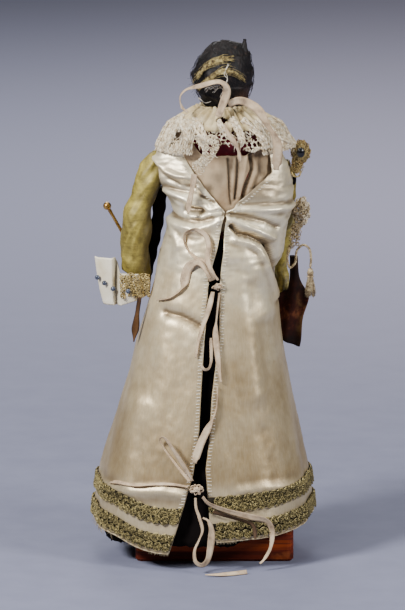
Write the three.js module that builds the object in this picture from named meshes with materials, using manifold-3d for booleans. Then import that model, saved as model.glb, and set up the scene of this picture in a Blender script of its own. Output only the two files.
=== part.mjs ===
// A small dressed wax figure on a wooden block: satin gown open at the back, lace collar,
// silk sleeves, ribbons, a brass rod and a velvet cloth.
// Millimetres, +Z up. The figure faces -Y, so its back is towards +Y and its left is +X.
// The origin is on the underside of the block, at its centre.
import * as THREE from "three";
import Module from "manifold-3d";
import { mergeVertices } from "three/addons/utils/BufferGeometryUtils.js";

const wasm = await Module();
wasm.setup();

// Driving dimensions
const baseWidth = 127;
const baseDepth = 84;
const baseHeight = 30;
const waistHeight = 262;
const baseBevel = 2;
const baseCornerRadius = 5;
const gap = 0.35;
const laceThickness = 1.6;
const trimGap = 0.5;
const gownThickness = 2.2;
const gownTop = 340;
const gownSquareness = 2.3;
const gownColumns = 29;
const ringColumns = 24;
const ribbonStep = 7.2;
const skirtFoldStart = 230;
const hemFoldDepth = 2.4;
const hemLevel = 28;
const leftCornerDrop = 14;
const rightCornerDrop = 4;
const rightSideLift = 4;
const braidGap = 0.5;
const braidThickness = 1.6;
const lowerBraid = { bottom: 2, top: 16.5 };
const upperBraid = { bottom: 23.5, top: 37.5 };
const blouseInset = 4;
const blouseThickness = 1.6;
const ribbonDiameter = 2.4;
const ribbonLift = 2.2;
const waistKnotSize = new THREE.Vector3(3.8, 2.2, 2.8);
const hemKnotSize = new THREE.Vector3(5, 2.6, 3.8);
const headCentre = new THREE.Vector3(-6.4, -3, 385);
const headSize = new THREE.Vector3(19, 22.5, 27);
const noseSize = new THREE.Vector3(2.6, 4, 6);
const neckRadius = 9;
const rodDiameter = 2.6;
const rodBallDiameter = 6.6;
const beadDiameter = 3.6;
const ornamentSize = new THREE.Vector3(8.6, 6, 15.5);
const stoneSize = new THREE.Vector3(3, 2, 4);
const laceTuftSize = new THREE.Vector3(6, 6, 10.5);

// Outline of the gown at each height: its left, right, back and front reach
const gownRows = [
  { z: 0, left: 97, right: -78.5, back: 80, front: 72 },
  { z: 30, left: 97, right: -79, back: 77, front: 70 },
  { z: 63, left: 93, right: -76.5, back: 72, front: 63 },
  { z: 90, left: 86, right: -71, back: 68, front: 56 },
  { z: 147, left: 69, right: -59, back: 58, front: 48 },
  { z: 173, left: 63, right: -55, back: 54, front: 45 },
  { z: 200, left: 55, right: -51.5, back: 49, front: 41 },
  { z: 222, left: 48.5, right: -48, back: 44, front: 37 },
  { z: 246, left: 43.5, right: -55, back: 39, front: 34 },
  { z: 266, left: 38, right: -57.5, back: 35, front: 32 },
  { z: 284, left: 34.5, right: -62.5, back: 32, front: 31 },
  { z: 300, left: 42, right: -63, back: 29, front: 30 },
  { z: 311, left: 48, right: -61, back: 27, front: 28 },
  { z: 320, left: 50, right: -58, back: 24, front: 26 },
  { z: 327, left: 47, right: -54, back: 20, front: 23 },
  { z: 333, left: 45, right: -54, back: 21, front: 23 },
  { z: gownTop, left: 41, right: -51, back: 23, front: 22 },
];

// X of the two edges of the slit, which opens into a V above z 285
const slitRightRows = [
  { z: 0, x: -2 },
  { z: 23, x: -2 },
  { z: 36, x: 3.6 },
  { z: 62, x: 5.6 },
  { z: 82, x: 7.2 },
  { z: 105, x: 4.4 },
  { z: 140, x: 2.2 },
  { z: 170, x: -1.6 },
  { z: 184, x: -3.6 },
  { z: 232, x: -4.4 },
  { z: 285, x: -9.6 },
  { z: 315, x: -46 },
  { z: 327, x: -44 },
  { z: gownTop, x: -43 },
];
const slitLeftRows = [
  { z: 0, x: 37 },
  { z: 14, x: 37 },
  { z: 38, x: 29 },
  { z: 60, x: 22 },
  { z: 78, x: 17 },
  { z: 105, x: 12.6 },
  { z: 150, x: 10.2 },
  { z: 200, x: 7 },
  { z: 232, x: 4.6 },
  { z: 270, x: -4.6 },
  { z: 285, x: -8 },
  { z: 306, x: 10 },
  { z: 317, x: 17.6 },
  { z: 327, x: 24 },
  { z: gownTop, x: 28 },
];

// Heights at which the gown has a row of faces, above the hem
const gownLevels = [63, 95, 130, 165, 200, 228, 255, 285, 297, 308, 318, 327, gownTop];

// Reads a named value from rows sorted by z, in straight lines between them.
function readRows(rows, z, name) {
  if (z <= rows[0].z) return rows[0][name];
  for (let i = 1; i < rows.length; i += 1) {
    if (z <= rows[i].z) {
      const share = (z - rows[i - 1].z) / (rows[i].z - rows[i - 1].z);
      return THREE.MathUtils.lerp(rows[i - 1][name], rows[i][name], share);
    }
  }
  return rows[rows.length - 1][name];
}

// Raises a number to a power and keeps its sign.
function signedPower(value, power) {
  return Math.sign(value) * Math.abs(value) ** power;
}

// The soft flutes of the skirt, deepest at the hem and gone at the waist.
function skirtFold(angle, z) {
  const depth = hemFoldDepth * Math.max(0, 1 - z / skirtFoldStart);
  return depth * (0.6 * Math.cos(7 * angle + 0.6) + 0.4 * Math.cos(11 * angle));
}

// A point of the gown. The angle starts at the back and runs round by the right side.
function gownPoint(angle, z, offset) {
  const left = readRows(gownRows, z, "left");
  const right = readRows(gownRows, z, "right");
  const reach = Math.cos(angle) > 0 ? readRows(gownRows, z, "back") : readRows(gownRows, z, "front");
  const grow = offset + skirtFold(angle, z);
  const power = 2 / gownSquareness;
  const x = (left + right) / 2 - ((left - right) / 2 + grow) * signedPower(Math.sin(angle), power);
  const y = (reach + grow) * signedPower(Math.cos(angle), power);
  return new THREE.Vector3(x, y, z);
}

// The angle at which the back of the gown passes a given x.
function angleAtBack(x, z) {
  const left = readRows(gownRows, z, "left");
  const right = readRows(gownRows, z, "right");
  const share = ((left + right) / 2 - x) / ((left - right) / 2);
  return Math.asin(THREE.MathUtils.clamp(signedPower(share, gownSquareness / 2), -1, 1));
}

// The back surface of the gown at a given x and height.
function gownBackY(x, z) {
  return gownPoint(angleAtBack(x, z), z, 0).y;
}

// The height of the hem: low at its two corners beside the slit and high at the right side.
function hemHeight(angle) {
  if (angle > Math.PI) {
    return hemLevel - leftCornerDrop * Math.max(0, Math.cos((angle - 2 * Math.PI + 0.3) / 2)) ** 30;
  }
  const rightCorner = rightCornerDrop * Math.max(0, Math.cos(angle / 2)) ** 8;
  return hemLevel - rightCorner + rightSideLift * Math.sin(angle) ** 2;
}

// Builds a closed mesh from a grid of points with an outer and an inner face.
// A wrapped grid joins its last column to its first, as a ring does.
function shellGeometry(outer, inner, wrapped) {
  const rows = outer.length;
  const columns = outer[0].length;
  const positions = [];
  const indices = [];
  for (const grid of [outer, inner]) {
    for (const row of grid) {
      for (const point of row) positions.push(point.x, point.y, point.z);
    }
  }
  const innerStart = rows * columns;
  const at = (row, column) => row * columns + (column % columns);
  const quad = (a, b, c, d) => indices.push(a, b, c, a, c, d);
  const lastColumn = wrapped ? columns : columns - 1;
  for (let row = 0; row < rows - 1; row += 1) {
    for (let column = 0; column < lastColumn; column += 1) {
      const a = at(row, column);
      const b = at(row, column + 1);
      const c = at(row + 1, column + 1);
      const d = at(row + 1, column);
      quad(a, b, c, d);
      quad(innerStart + d, innerStart + c, innerStart + b, innerStart + a);
    }
  }
  for (let column = 0; column < lastColumn; column += 1) {
    const a = at(0, column);
    const b = at(0, column + 1);
    quad(a, innerStart + a, innerStart + b, b);
    const c = at(rows - 1, column);
    const d = at(rows - 1, column + 1);
    quad(c, d, innerStart + d, innerStart + c);
  }
  if (!wrapped) {
    for (let row = 0; row < rows - 1; row += 1) {
      const a = at(row, 0);
      const b = at(row + 1, 0);
      quad(a, b, innerStart + b, innerStart + a);
      const c = at(row, columns - 1);
      const d = at(row + 1, columns - 1);
      quad(c, innerStart + c, innerStart + d, d);
    }
  }
  return geometryFrom(positions, indices);
}

// Builds a closed solid from rings of points, with a flat fan at each end.
function ringSolid(rings) {
  const columns = rings[0].length;
  const positions = [];
  const indices = [];
  for (const ring of rings) {
    for (const point of ring) positions.push(point.x, point.y, point.z);
  }
  for (let row = 0; row < rings.length - 1; row += 1) {
    for (let column = 0; column < columns; column += 1) {
      const a = row * columns + column;
      const b = row * columns + ((column + 1) % columns);
      indices.push(a, b, b + columns, a, b + columns, a + columns);
    }
  }
  const ends = [0, rings.length - 1];
  for (const end of ends) {
    const centre = new THREE.Vector3();
    for (const point of rings[end]) centre.addScaledVector(point, 1 / columns);
    const middle = positions.length / 3;
    positions.push(centre.x, centre.y, centre.z);
    for (let column = 0; column < columns; column += 1) {
      const a = end * columns + column;
      const b = end * columns + ((column + 1) % columns);
      if (end === 0) indices.push(middle, b, a);
      else indices.push(middle, a, b);
    }
  }
  return geometryFrom(positions, indices);
}

function geometryFrom(positions, indices) {
  const geometry = new THREE.BufferGeometry();
  geometry.setAttribute("position", new THREE.Float32BufferAttribute(positions, 3));
  geometry.setIndex(indices);
  geometry.computeVertexNormals();
  return geometry;
}

// Turns a closed geometry into a solid that can be cut and joined.
function solidFrom(geometry) {
  const plain = geometry.clone();
  plain.deleteAttribute("normal");
  plain.deleteAttribute("uv");
  const merged = mergeVertices(plain, 1e-4);
  return new wasm.Manifold(new wasm.Mesh({
    numProp: 3,
    vertProperties: Float32Array.from(merged.attributes.position.array),
    triVerts: Uint32Array.from(merged.index.array),
  }));
}

function geometryOfSolid(solid) {
  const mesh = solid.getMesh();
  return geometryFrom(Array.from(mesh.vertProperties), Array.from(mesh.triVerts));
}

function joined(...geometries) {
  return geometryOfSolid(geometries.map(solidFrom).reduce((sum, next) => sum.add(next)));
}

function cut(geometry, ...cutters) {
  const rest = cutters.map(solidFrom).reduce((left, next) => left.subtract(next), solidFrom(geometry));
  return geometryOfSolid(rest);
}

function placedSphere(diameter, x, y, z, columns = 12, rows = 8) {
  const geometry = new THREE.SphereGeometry(diameter / 2, columns, rows);
  geometry.rotateX(Math.PI / 2);
  geometry.translate(x, y, z);
  return geometry;
}

// An ellipsoid with its poles up and down
function placedEllipsoid(size, x, y, z, columns = 20, rows = 12) {
  const geometry = new THREE.SphereGeometry(1, columns, rows);
  geometry.rotateX(Math.PI / 2);
  geometry.scale(size.x, size.y, size.z);
  geometry.translate(x, y, z);
  return geometry;
}

// A solid of horizontal oval rings: each row has a centre and two radii.
function ovalSolid(rows, columns) {
  const rings = rows.map((row) => {
    const ring = [];
    for (let i = 0; i < columns; i += 1) {
      const angle = (2 * Math.PI * i) / columns;
      ring.push(new THREE.Vector3(row.x + row.rx * Math.cos(angle), row.y + row.ry * Math.sin(angle), row.z));
    }
    return ring;
  });
  return ringSolid(rings);
}

// A round cord along a smooth curve through points
function tubeGeometry(points, diameter, steps, sides = 8) {
  const section = new THREE.Shape();
  for (let i = 0; i < sides; i += 1) {
    const angle = (2 * Math.PI * i) / sides;
    const x = (diameter / 2) * Math.cos(angle);
    const y = (diameter / 2) * Math.sin(angle);
    if (i === 0) section.moveTo(x, y);
    else section.lineTo(x, y);
  }
  section.closePath();
  return new THREE.ExtrudeGeometry(section, {
    steps,
    bevelEnabled: false,
    curveSegments: 1,
    extrudePath: new THREE.CatmullRomCurve3(points, false, "centripetal"),
  });
}

// An upright plate with the given corners in x and z, which ends at a given y
function uprightPlate(corners, thickness, backY) {
  const outline = new THREE.Shape(corners.map(([x, z]) => new THREE.Vector2(x, z)));
  const geometry = new THREE.ExtrudeGeometry(outline, { depth: thickness, bevelEnabled: false });
  geometry.rotateX(Math.PI / 2);
  geometry.translate(0, backY, 0);
  return geometry;
}

const statuette = new THREE.Group();

function addPiece(name, geometry, colour, roughness, metalness = 0) {
  const material = new THREE.MeshStandardMaterial({ color: colour, roughness, metalness });
  const mesh = new THREE.Mesh(geometry, material);
  mesh.name = name;
  statuette.add(mesh);
  return mesh;
}

// The wooden block, with rounded upright corners and a small bevel
function baseGeometry() {
  const halfWidth = baseWidth / 2 - baseBevel;
  const halfDepth = baseDepth / 2 - baseBevel;
  const radius = baseCornerRadius - baseBevel;
  const outline = new THREE.Shape();
  outline.moveTo(-halfWidth + radius, -halfDepth);
  outline.lineTo(halfWidth - radius, -halfDepth);
  outline.quadraticCurveTo(halfWidth, -halfDepth, halfWidth, -halfDepth + radius);
  outline.lineTo(halfWidth, halfDepth - radius);
  outline.quadraticCurveTo(halfWidth, halfDepth, halfWidth - radius, halfDepth);
  outline.lineTo(-halfWidth + radius, halfDepth);
  outline.quadraticCurveTo(-halfWidth, halfDepth, -halfWidth, halfDepth - radius);
  outline.lineTo(-halfWidth, -halfDepth + radius);
  outline.quadraticCurveTo(-halfWidth, -halfDepth, -halfWidth + radius, -halfDepth);
  const geometry = new THREE.ExtrudeGeometry(outline, {
    depth: baseHeight - 2 * baseBevel,
    bevelThickness: baseBevel,
    bevelSize: baseBevel,
    bevelSegments: 1,
    curveSegments: 3,
  });
  geometry.translate(0, 0, baseBevel);
  return geometry;
}

// Rings that follow the gown at some heights, set in by the inset rows
function innerForm(levels, inset) {
  return levels.map((z) => {
    const ring = [];
    for (let i = 0; i < ringColumns; i += 1) {
      const angle = (2 * Math.PI * i) / ringColumns;
      ring.push(gownPoint(angle, z, -readRows(inset, z, "by")));
    }
    return ring;
  });
}

function underSkirtGeometry() {
  const inset = [
    { z: baseHeight, by: 7.5 },
    { z: waistHeight, by: 6.5 },
  ];
  const levels = [baseHeight + gap, 63, 110, 160, 200, 228, waistHeight];
  return ringSolid(innerForm(levels, inset));
}

// The bodice fills the collar and ends round the foot of the neck.
const bodiceShoulders = [
  { z: 327, left: 42, right: -48, back: 16, front: 18 },
  { z: 335, left: 40, right: -49, back: 17.5, front: 18.5 },
  { z: 342, left: 37, right: -47, back: 20, front: 18.5 },
  { z: 348, left: 36, right: -48, back: 23, front: 19 },
  { z: 356, left: 18, right: -31, back: 17, front: 14 },
];

function bodiceGeometry() {
  const inset = [
    { z: waistHeight, by: 6.5 },
    { z: 311, by: 7.5 },
  ];
  const rings = innerForm([waistHeight + gap, 285, 311], inset);
  for (const { z, left, right, back, front } of bodiceShoulders) {
    const ring = [];
    for (let i = 0; i < ringColumns; i += 1) {
      const angle = (2 * Math.PI * i) / ringColumns;
      const x = (left + right) / 2 - ((left - right) / 2) * Math.sin(angle);
      const reach = Math.cos(angle) > 0 ? back : front;
      ring.push(new THREE.Vector3(x, reach * Math.cos(angle), z));
    }
    rings.push(ring);
  }
  return ringSolid(rings);
}

// The under-blouse is a thin ring between the bodice and the gown.
function underBlouseGeometry() {
  const levels = [270, 285, 297, 308, 318];
  const outer = innerForm(levels, [{ z: 0, by: blouseInset }]);
  const inner = innerForm(levels, [{ z: 0, by: blouseInset + blouseThickness }]);
  return shellGeometry(outer, inner, true);
}

// A grid that follows the gown from the right edge of the slit round to its left edge
function gownGrid(heightAt, rowCount, offset) {
  const grid = [];
  for (let row = 0; row < rowCount; row += 1) {
    const line = [];
    for (let column = 0; column < gownColumns; column += 1) {
      const share = column / (gownColumns - 1);
      let z = heightAt(row, 2 * Math.PI * share);
      let angle = 2 * Math.PI * share;
      for (let pass = 0; pass < 3; pass += 1) {
        const start = angleAtBack(readRows(slitRightRows, z, "x"), z);
        const end = angleAtBack(readRows(slitLeftRows, z, "x"), z) + 2 * Math.PI;
        angle = THREE.MathUtils.lerp(start, end, share);
        z = heightAt(row, angle);
      }
      line.push(gownPoint(angle, z, offset));
    }
    grid.push(line);
  }
  return grid;
}

function gownGeometry() {
  const heightAt = (row, angle) => {
    const hem = hemHeight(angle);
    if (row === 0) return hem;
    if (row === 1) return (hem + gownLevels[0]) / 2;
    return gownLevels[row - 2];
  };
  const rowCount = gownLevels.length + 2;
  const outer = gownGrid(heightAt, rowCount, 0);
  const inner = gownGrid(heightAt, rowCount, -gownThickness);
  return shellGeometry(outer, inner, false);
}

function braidGeometry(band) {
  const heightAt = (row, angle) => hemHeight(angle) + (row === 0 ? band.bottom : band.top);
  const outer = gownGrid(heightAt, 2, braidGap + braidThickness);
  const inner = gownGrid(heightAt, 2, braidGap);
  return shellGeometry(outer, inner, false);
}

// The outside of the gown as one solid, used to trim what lies against it
function gownEnvelope() {
  const columns = 2 * ringColumns;
  const rings = gownLevels.map((z) => {
    const ring = [];
    for (let i = 0; i < columns; i += 1) ring.push(gownPoint((2 * Math.PI * i) / columns, z, trimGap));
    return ring;
  });
  return ringSolid(rings);
}

// The collar stands up round the neck, then falls over the shoulders in soft waves.
const collarRows = [
  { z: 360, left: 6, right: -19, back: 12.5, front: 12.5 },
  { z: 365, left: 15, right: -30, back: 19, front: 17 },
  { z: 352, left: 37, right: -53.5, back: 28, front: 24 },
  { z: 332, left: 47, right: -64, back: 31, front: 28 },
];
const collarWaves = 6;
const collarWaveDepth = 1.6;
const collarThickness = 1.4;
const collarRightLift = 5;

function collarPoint(row, angle, offset) {
  const { z, left, right, back, front } = collarRows[row];
  const share = row / (collarRows.length - 1);
  const wave = collarWaveDepth * share * (1 + Math.cos(collarWaves * angle));
  const isEdge = row === collarRows.length - 1;
  const rightLift = isEdge ? collarRightLift * Math.max(0, Math.sin(angle)) : 0;
  const half = (left - right) / 2 + offset + wave;
  const reach = (Math.cos(angle) > 0 ? back : front) + offset + wave;
  const x = (left + right) / 2 - half * Math.sin(angle);
  return new THREE.Vector3(x, reach * Math.cos(angle), z + rightLift + offset * 0.6);
}

function collarGeometry() {
  const grid = (offset) => collarRows.map((_, row) => {
    const line = [];
    for (let i = 0; i < ringColumns; i += 1) {
      line.push(collarPoint(row, (2 * Math.PI * i) / ringColumns, offset));
    }
    return line;
  });
  return shellGeometry(grid(0), grid(collarThickness), true);
}

// The strip of lace that hangs from the collar at the middle of the back
function laceFallGeometry() {
  const corners = [
    [1, 347],
    [13, 347],
    [8, 338],
    [6, 334],
    [18, 326],
    [12, 320],
    [2, 326],
    [-5, 334],
    [-5, 341],
  ];
  return uprightPlate(corners, laceThickness, 37);
}

// The wax head: a rounded skull with a narrower jaw, a nose and a neck
function headGeometry() {
  const skull = placedEllipsoid(headSize, 0, 0, 0, 16, 10);
  const position = skull.attributes.position;
  for (let i = 0; i < position.count; i += 1) {
    const down = Math.max(0, -position.getZ(i) / headSize.z);
    const forward = Math.max(0, -position.getY(i) / headSize.y);
    position.setX(i, position.getX(i) * (1 - 0.28 * down));
    position.setY(i, position.getY(i) * (1 - 0.1 * down) - 1.5 * down * forward);
  }
  skull.translate(headCentre.x, headCentre.y, headCentre.z);
  const nose = placedEllipsoid(noseSize, 0, 0, 0, 8, 6);
  nose.rotateX(-0.3);
  nose.translate(headCentre.x, headCentre.y - headSize.y + 0.8, headCentre.z - 4);
  const neckRing = (z, radius) => ({ z, x: headCentre.x, y: 0, rx: radius, ry: radius });
  const neckRings = [neckRing(356.4, neckRadius + 1), neckRing(361, neckRadius), neckRing(374, neckRadius)];
  const neck = ovalSolid(neckRings, 12);
  return joined(skull, neck, nose);
}

// Outline of the wrapped hair at each height, seen from behind
const hairRows = [
  { z: 366, left: 8, right: -23, back: 14, front: 10 },
  { z: 374, left: 12, right: -27, back: 20, front: 14 },
  { z: 382, left: 15.5, right: -29.4, back: 24, front: 18 },
  { z: 390, left: 18.4, right: -30.6, back: 26, front: 22 },
  { z: 398, left: 15, right: -29.4, back: 25.5, front: 24 },
  { z: 404, left: 12, right: -28.6, back: 22.5, front: 22 },
  { z: 410, left: 8, right: -27.4, back: 17, front: 17 },
  { z: 415, left: 2.5, right: -23, back: 9.5, front: 9 },
  { z: 417.5, left: -1, right: -12, back: 4, front: 4 },
];

function hairPoint(angle, z, offset) {
  const left = readRows(hairRows, z, "left");
  const right = readRows(hairRows, z, "right");
  const reach = Math.cos(angle) > 0 ? readRows(hairRows, z, "back") : readRows(hairRows, z, "front");
  const x = (left + right) / 2 - ((left - right) / 2 + offset) * Math.sin(angle);
  const y = (reach + offset) * Math.cos(angle);
  return new THREE.Vector3(x, y, z);
}

function hairBackPoint(x, z, offset) {
  const left = readRows(hairRows, z, "left");
  const right = readRows(hairRows, z, "right");
  const share = ((left + right) / 2 - x) / ((left - right) / 2 + offset);
  return hairPoint(Math.asin(THREE.MathUtils.clamp(share, -1, 1)), z, offset);
}

// The hair is a thick wrapped cap with one upright tuft, hollowed out for the head, face and neck.
function hairGeometry() {
  const columns = 16;
  const headRoomScale = 1.03;
  const faceRoomSize = new THREE.Vector3(17, 24, 25);
  const neckRoomRadius = neckRadius + 0.8;
  const rings = hairRows.map((row) => {
    const ring = [];
    for (let i = 0; i < columns; i += 1) ring.push(hairPoint((2 * Math.PI * i) / columns, row.z, 0));
    return ring;
  });
  const tuft = new THREE.ConeGeometry(5.5, 16, 8);
  tuft.rotateX(Math.PI / 2);
  tuft.rotateY(-0.2);
  tuft.translate(-23.2, 4, 411);
  const headRoom = headGeometry();
  headRoom.translate(-headCentre.x, -headCentre.y, -headCentre.z);
  headRoom.scale(headRoomScale, headRoomScale, headRoomScale);
  headRoom.translate(headCentre.x, headCentre.y, headCentre.z);
  const faceRoom = placedEllipsoid(faceRoomSize, headCentre.x, -26, headCentre.z - 7, 14, 8);
  const neckRoom = new THREE.CylinderGeometry(neckRoomRadius, neckRoomRadius, 40, 12);
  neckRoom.rotateX(Math.PI / 2);
  neckRoom.translate(headCentre.x, 0, 358);
  return cut(joined(ringSolid(rings), tuft), headRoom, faceRoom, neckRoom);
}

// A band of fibre that lies over the back of the hair
function strawBandGeometry(stations, diameter) {
  const points = stations.map(([x, z]) => hairBackPoint(x, z, diameter / 2 + 1.3));
  return tubeGeometry(points, diameter, 7);
}

function sleeveLeftGeometry() {
  const tube = ovalSolid([
    { z: 231, x: 63.5, y: -4, rx: 11.5, ry: 12 },
    { z: 243, x: 63.6, y: -4, rx: 12, ry: 15 },
    { z: 261, x: 64, y: -3, rx: 12.4, ry: 17 },
    { z: 279, x: 61, y: -3, rx: 11.4, ry: 16 },
    { z: 292, x: 57, y: -2, rx: 10.6, ry: 15 },
    { z: 311, x: 50, y: -1, rx: 12, ry: 13 },
    { z: 324, x: 46, y: -1, rx: 9, ry: 9 },
  ], 12);
  return cut(tube, gownEnvelope());
}

function sleeveRightTube(grow) {
  const rows = [
    { z: 226, x: -50, y: -40, rx: 9, ry: 11 },
    { z: 238, x: -51, y: -38, rx: 11, ry: 13 },
    { z: 262, x: -52, y: -30, rx: 12, ry: 15 },
    { z: 285, x: -54, y: -18, rx: 12, ry: 15 },
    { z: 305, x: -55, y: -8, rx: 10.5, ry: 12 },
    { z: 320, x: -54, y: -3, rx: 7, ry: 8 },
  ];
  return ovalSolid(rows.map((row) => ({ ...row, rx: row.rx + grow, ry: row.ry + grow })), 12);
}

function sleeveRightGeometry() {
  return cut(sleeveRightTube(0), gownEnvelope());
}

// The cream cuff is a folded ring of cloth, higher on its outer side and narrower below.
const cuffWall = 1.8;
const cuffFoldX = 78;
const cuffTaper = 0.36;
const cuffPlan = [
  [52, -3],
  [62, 9.5],
  [75, 9.5],
  [79, 3],
  [83, 8],
  [96, 1],
  [93, -24],
  [76, -30],
  [56, -26],
];
function cuffLeftGeometry() {
  const middle = new THREE.Vector2(73, -9);
  const taperedX = (x, end) => (end === 0 && x > cuffFoldX ? x - (x - cuffFoldX) * cuffTaper : x);
  const columnPoint = ([x, y], inset, z) => {
    const inward = new THREE.Vector2(middle.x - x, middle.y - y).setLength(inset);
    return new THREE.Vector3(x + inward.x, y + inward.y, z);
  };
  const bottomAt = (x) => (x < 74 ? THREE.MathUtils.mapLinear(x, 52, 74, 211, 204) : 203.5);
  const topAt = (x) => (x < cuffFoldX ? 229.5 : 242);
  const grid = (inset) => [0, 1].map((end) => cuffPlan.slice().reverse().map((corner) => {
    const z = end === 0 ? bottomAt(corner[0]) : topAt(corner[0]);
    return columnPoint([taperedX(corner[0], end), corner[1]], inset, z);
  }));
  return shellGeometry(grid(0), grid(cuffWall), true);
}

// A flat strip that follows points along its middle, with its width across x
function stripGeometry(points, width, thickness) {
  const row = (side, depth) => points.map((point) => (
    new THREE.Vector3(point.x + (side * width) / 2, point.y + depth, point.z)));
  return shellGeometry([row(-1, 0), row(1, 0)], [row(-1, thickness), row(1, thickness)], false);
}

function cuffLaceGeometry() {
  const corners = [
    [53, 212],
    [74, 211],
    [75.5, 229.5],
    [52, 229.5],
  ];
  return uprightPlate(corners, laceThickness, 12);
}

// A hand in a loose grip: wrist, palm and four curled fingers with a thumb
const fingerDiameter = 3.3;
const fingerPitch = 3.2;
const thumbDiameter = 3.6;

function handGeometry(side) {
  const wrist = ovalSolid([
    { z: -9, x: 0, y: 0, rx: 4.4, ry: 4 },
    { z: 4, x: 0, y: 0, rx: 6.6, ry: 4 },
    { z: 12, x: 0, y: 0, rx: 6.8, ry: 3.8 },
  ], 10);
  const pieces = [wrist];
  for (let finger = 0; finger < 4; finger += 1) {
    const across = (finger - 1.5) * fingerPitch;
    const points = [
      new THREE.Vector3(across, 0.6, 9),
      new THREE.Vector3(across, 1.2, 16),
      new THREE.Vector3(across, -2.5, 20),
      new THREE.Vector3(across, -7.5, 19),
      new THREE.Vector3(across, -8.6, 14),
    ];
    pieces.push(tubeGeometry(points, fingerDiameter, 4, 5));
  }
  const thumb = [
    new THREE.Vector3(side * 5, -1, 1),
    new THREE.Vector3(side * 7.5, -5, 6),
    new THREE.Vector3(side * 5, -9, 10),
  ];
  pieces.push(tubeGeometry(thumb, thumbDiameter, 3, 5));
  return joined(...pieces);
}

const rodFoot = new THREE.Vector3(54, -44, 222);
const rodHead = new THREE.Vector3(86.8, -34, 282);

function rodGeometry(diameter) {
  const length = rodHead.distanceTo(rodFoot);
  const shaft = new THREE.CylinderGeometry(diameter / 2, diameter / 2, length, 10);
  shaft.translate(0, length / 2, 0);
  const along = rodHead.clone().sub(rodFoot).normalize();
  shaft.applyQuaternion(new THREE.Quaternion().setFromUnitVectors(new THREE.Vector3(0, 1, 0), along));
  shaft.translate(rodFoot.x, rodFoot.y, rodFoot.z);
  return joined(shaft, placedSphere(rodBallDiameter, rodHead.x, rodHead.y, rodHead.z, 10, 8));
}

// Each ribbon is a list of x, z and how far it stands off the back of the gown.
function ribbonPoints(stations) {
  return stations.map(([x, z, lift = 0]) => new THREE.Vector3(x, gownBackY(x, z) + ribbonLift + lift, z));
}

function addRibbon(name, points) {
  const length = new THREE.CatmullRomCurve3(points, false, "centripetal").getLength();
  const steps = Math.round(length / ribbonStep);
  addPiece(name, tubeGeometry(points, ribbonDiameter, steps), 0xcdbeb0, 0.6);
}

function addBody() {
  addPiece("base", baseGeometry(), 0x5a2312, 0.5);
  addPiece("under_skirt", underSkirtGeometry(), 0x1b120e, 0.95);
  addPiece("bodice", bodiceGeometry(), 0x5f1622, 0.85);
  addPiece("under_blouse", underBlouseGeometry(), 0xb9aa9b, 0.9);
  addPiece("gown", gownGeometry(), 0xd2c5ac, 0.45);
  addPiece("hem_braid_upper", braidGeometry(upperBraid), 0x7a7448, 0.5, 0.6);
  addPiece("hem_braid_lower", braidGeometry(lowerBraid), 0x7a7448, 0.5, 0.6);
  addPiece("lace_collar", collarGeometry(), 0xd7cdb4, 0.9);
  addPiece("lace_fall", laceFallGeometry(), 0xd7cdb4, 0.9);
}

function addHead() {
  addPiece("head", headGeometry(), 0xd9b590, 0.4);
  addPiece("hair", hairGeometry(), 0x191416, 0.8);
  const upper = [[18, 386], [13, 394], [7, 401], [0, 405.5], [-8, 407.5], [-16, 407]];
  const lower = [[14, 381], [9, 388], [1, 395], [-8, 398.5], [-17, 396], [-26, 388]];
  addPiece("straw_band_upper", strawBandGeometry(upper, 3.2), 0x968c5a, 0.9);
  addPiece("straw_band_lower", strawBandGeometry(lower, 3.2), 0x968c5a, 0.9);
}

function addLeftArm() {
  addPiece("sleeve_left", sleeveLeftGeometry(), 0x9a8a35, 0.5);
  addPiece("cuff_left", cuffLeftGeometry(), 0xcfc4a8, 0.85);
  addPiece("cuff_lace_left", cuffLaceGeometry(), 0x9a8146, 0.6, 0.4);
  const beads = [
    [94, 5.6, 226],
    [88.4, 8.6, 222],
    [81.5, 9.6, 217.5],
    [69.2, 15, 216.5],
  ];
  beads.forEach(([x, y, z], index) => {
    addPiece(`cuff_bead_${index + 1}`, placedSphere(beadDiameter, x, y, z, 8, 4), 0x6f7c8c, 0.3);
  });
  const hand = handGeometry(1);
  hand.rotateX(Math.PI / 2);
  hand.rotateY(0.5);
  hand.translate(62, -32, 240);
  addPiece("hand_left", cut(hand, rodGeometry(rodDiameter + 2 * gap)), 0xd9b590, 0.4);
  addPiece("rod", rodGeometry(rodDiameter), 0xb08a3c, 0.3, 0.9);
  const strip = [
    new THREE.Vector3(61, 16.5, 212),
    new THREE.Vector3(63.5, 16.5, 195),
    new THREE.Vector3(66.5, 16.5, 177),
  ];
  addPiece("strip_left", stripGeometry(strip, 5, 1.2), 0x5a4426, 0.8);
}

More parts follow.
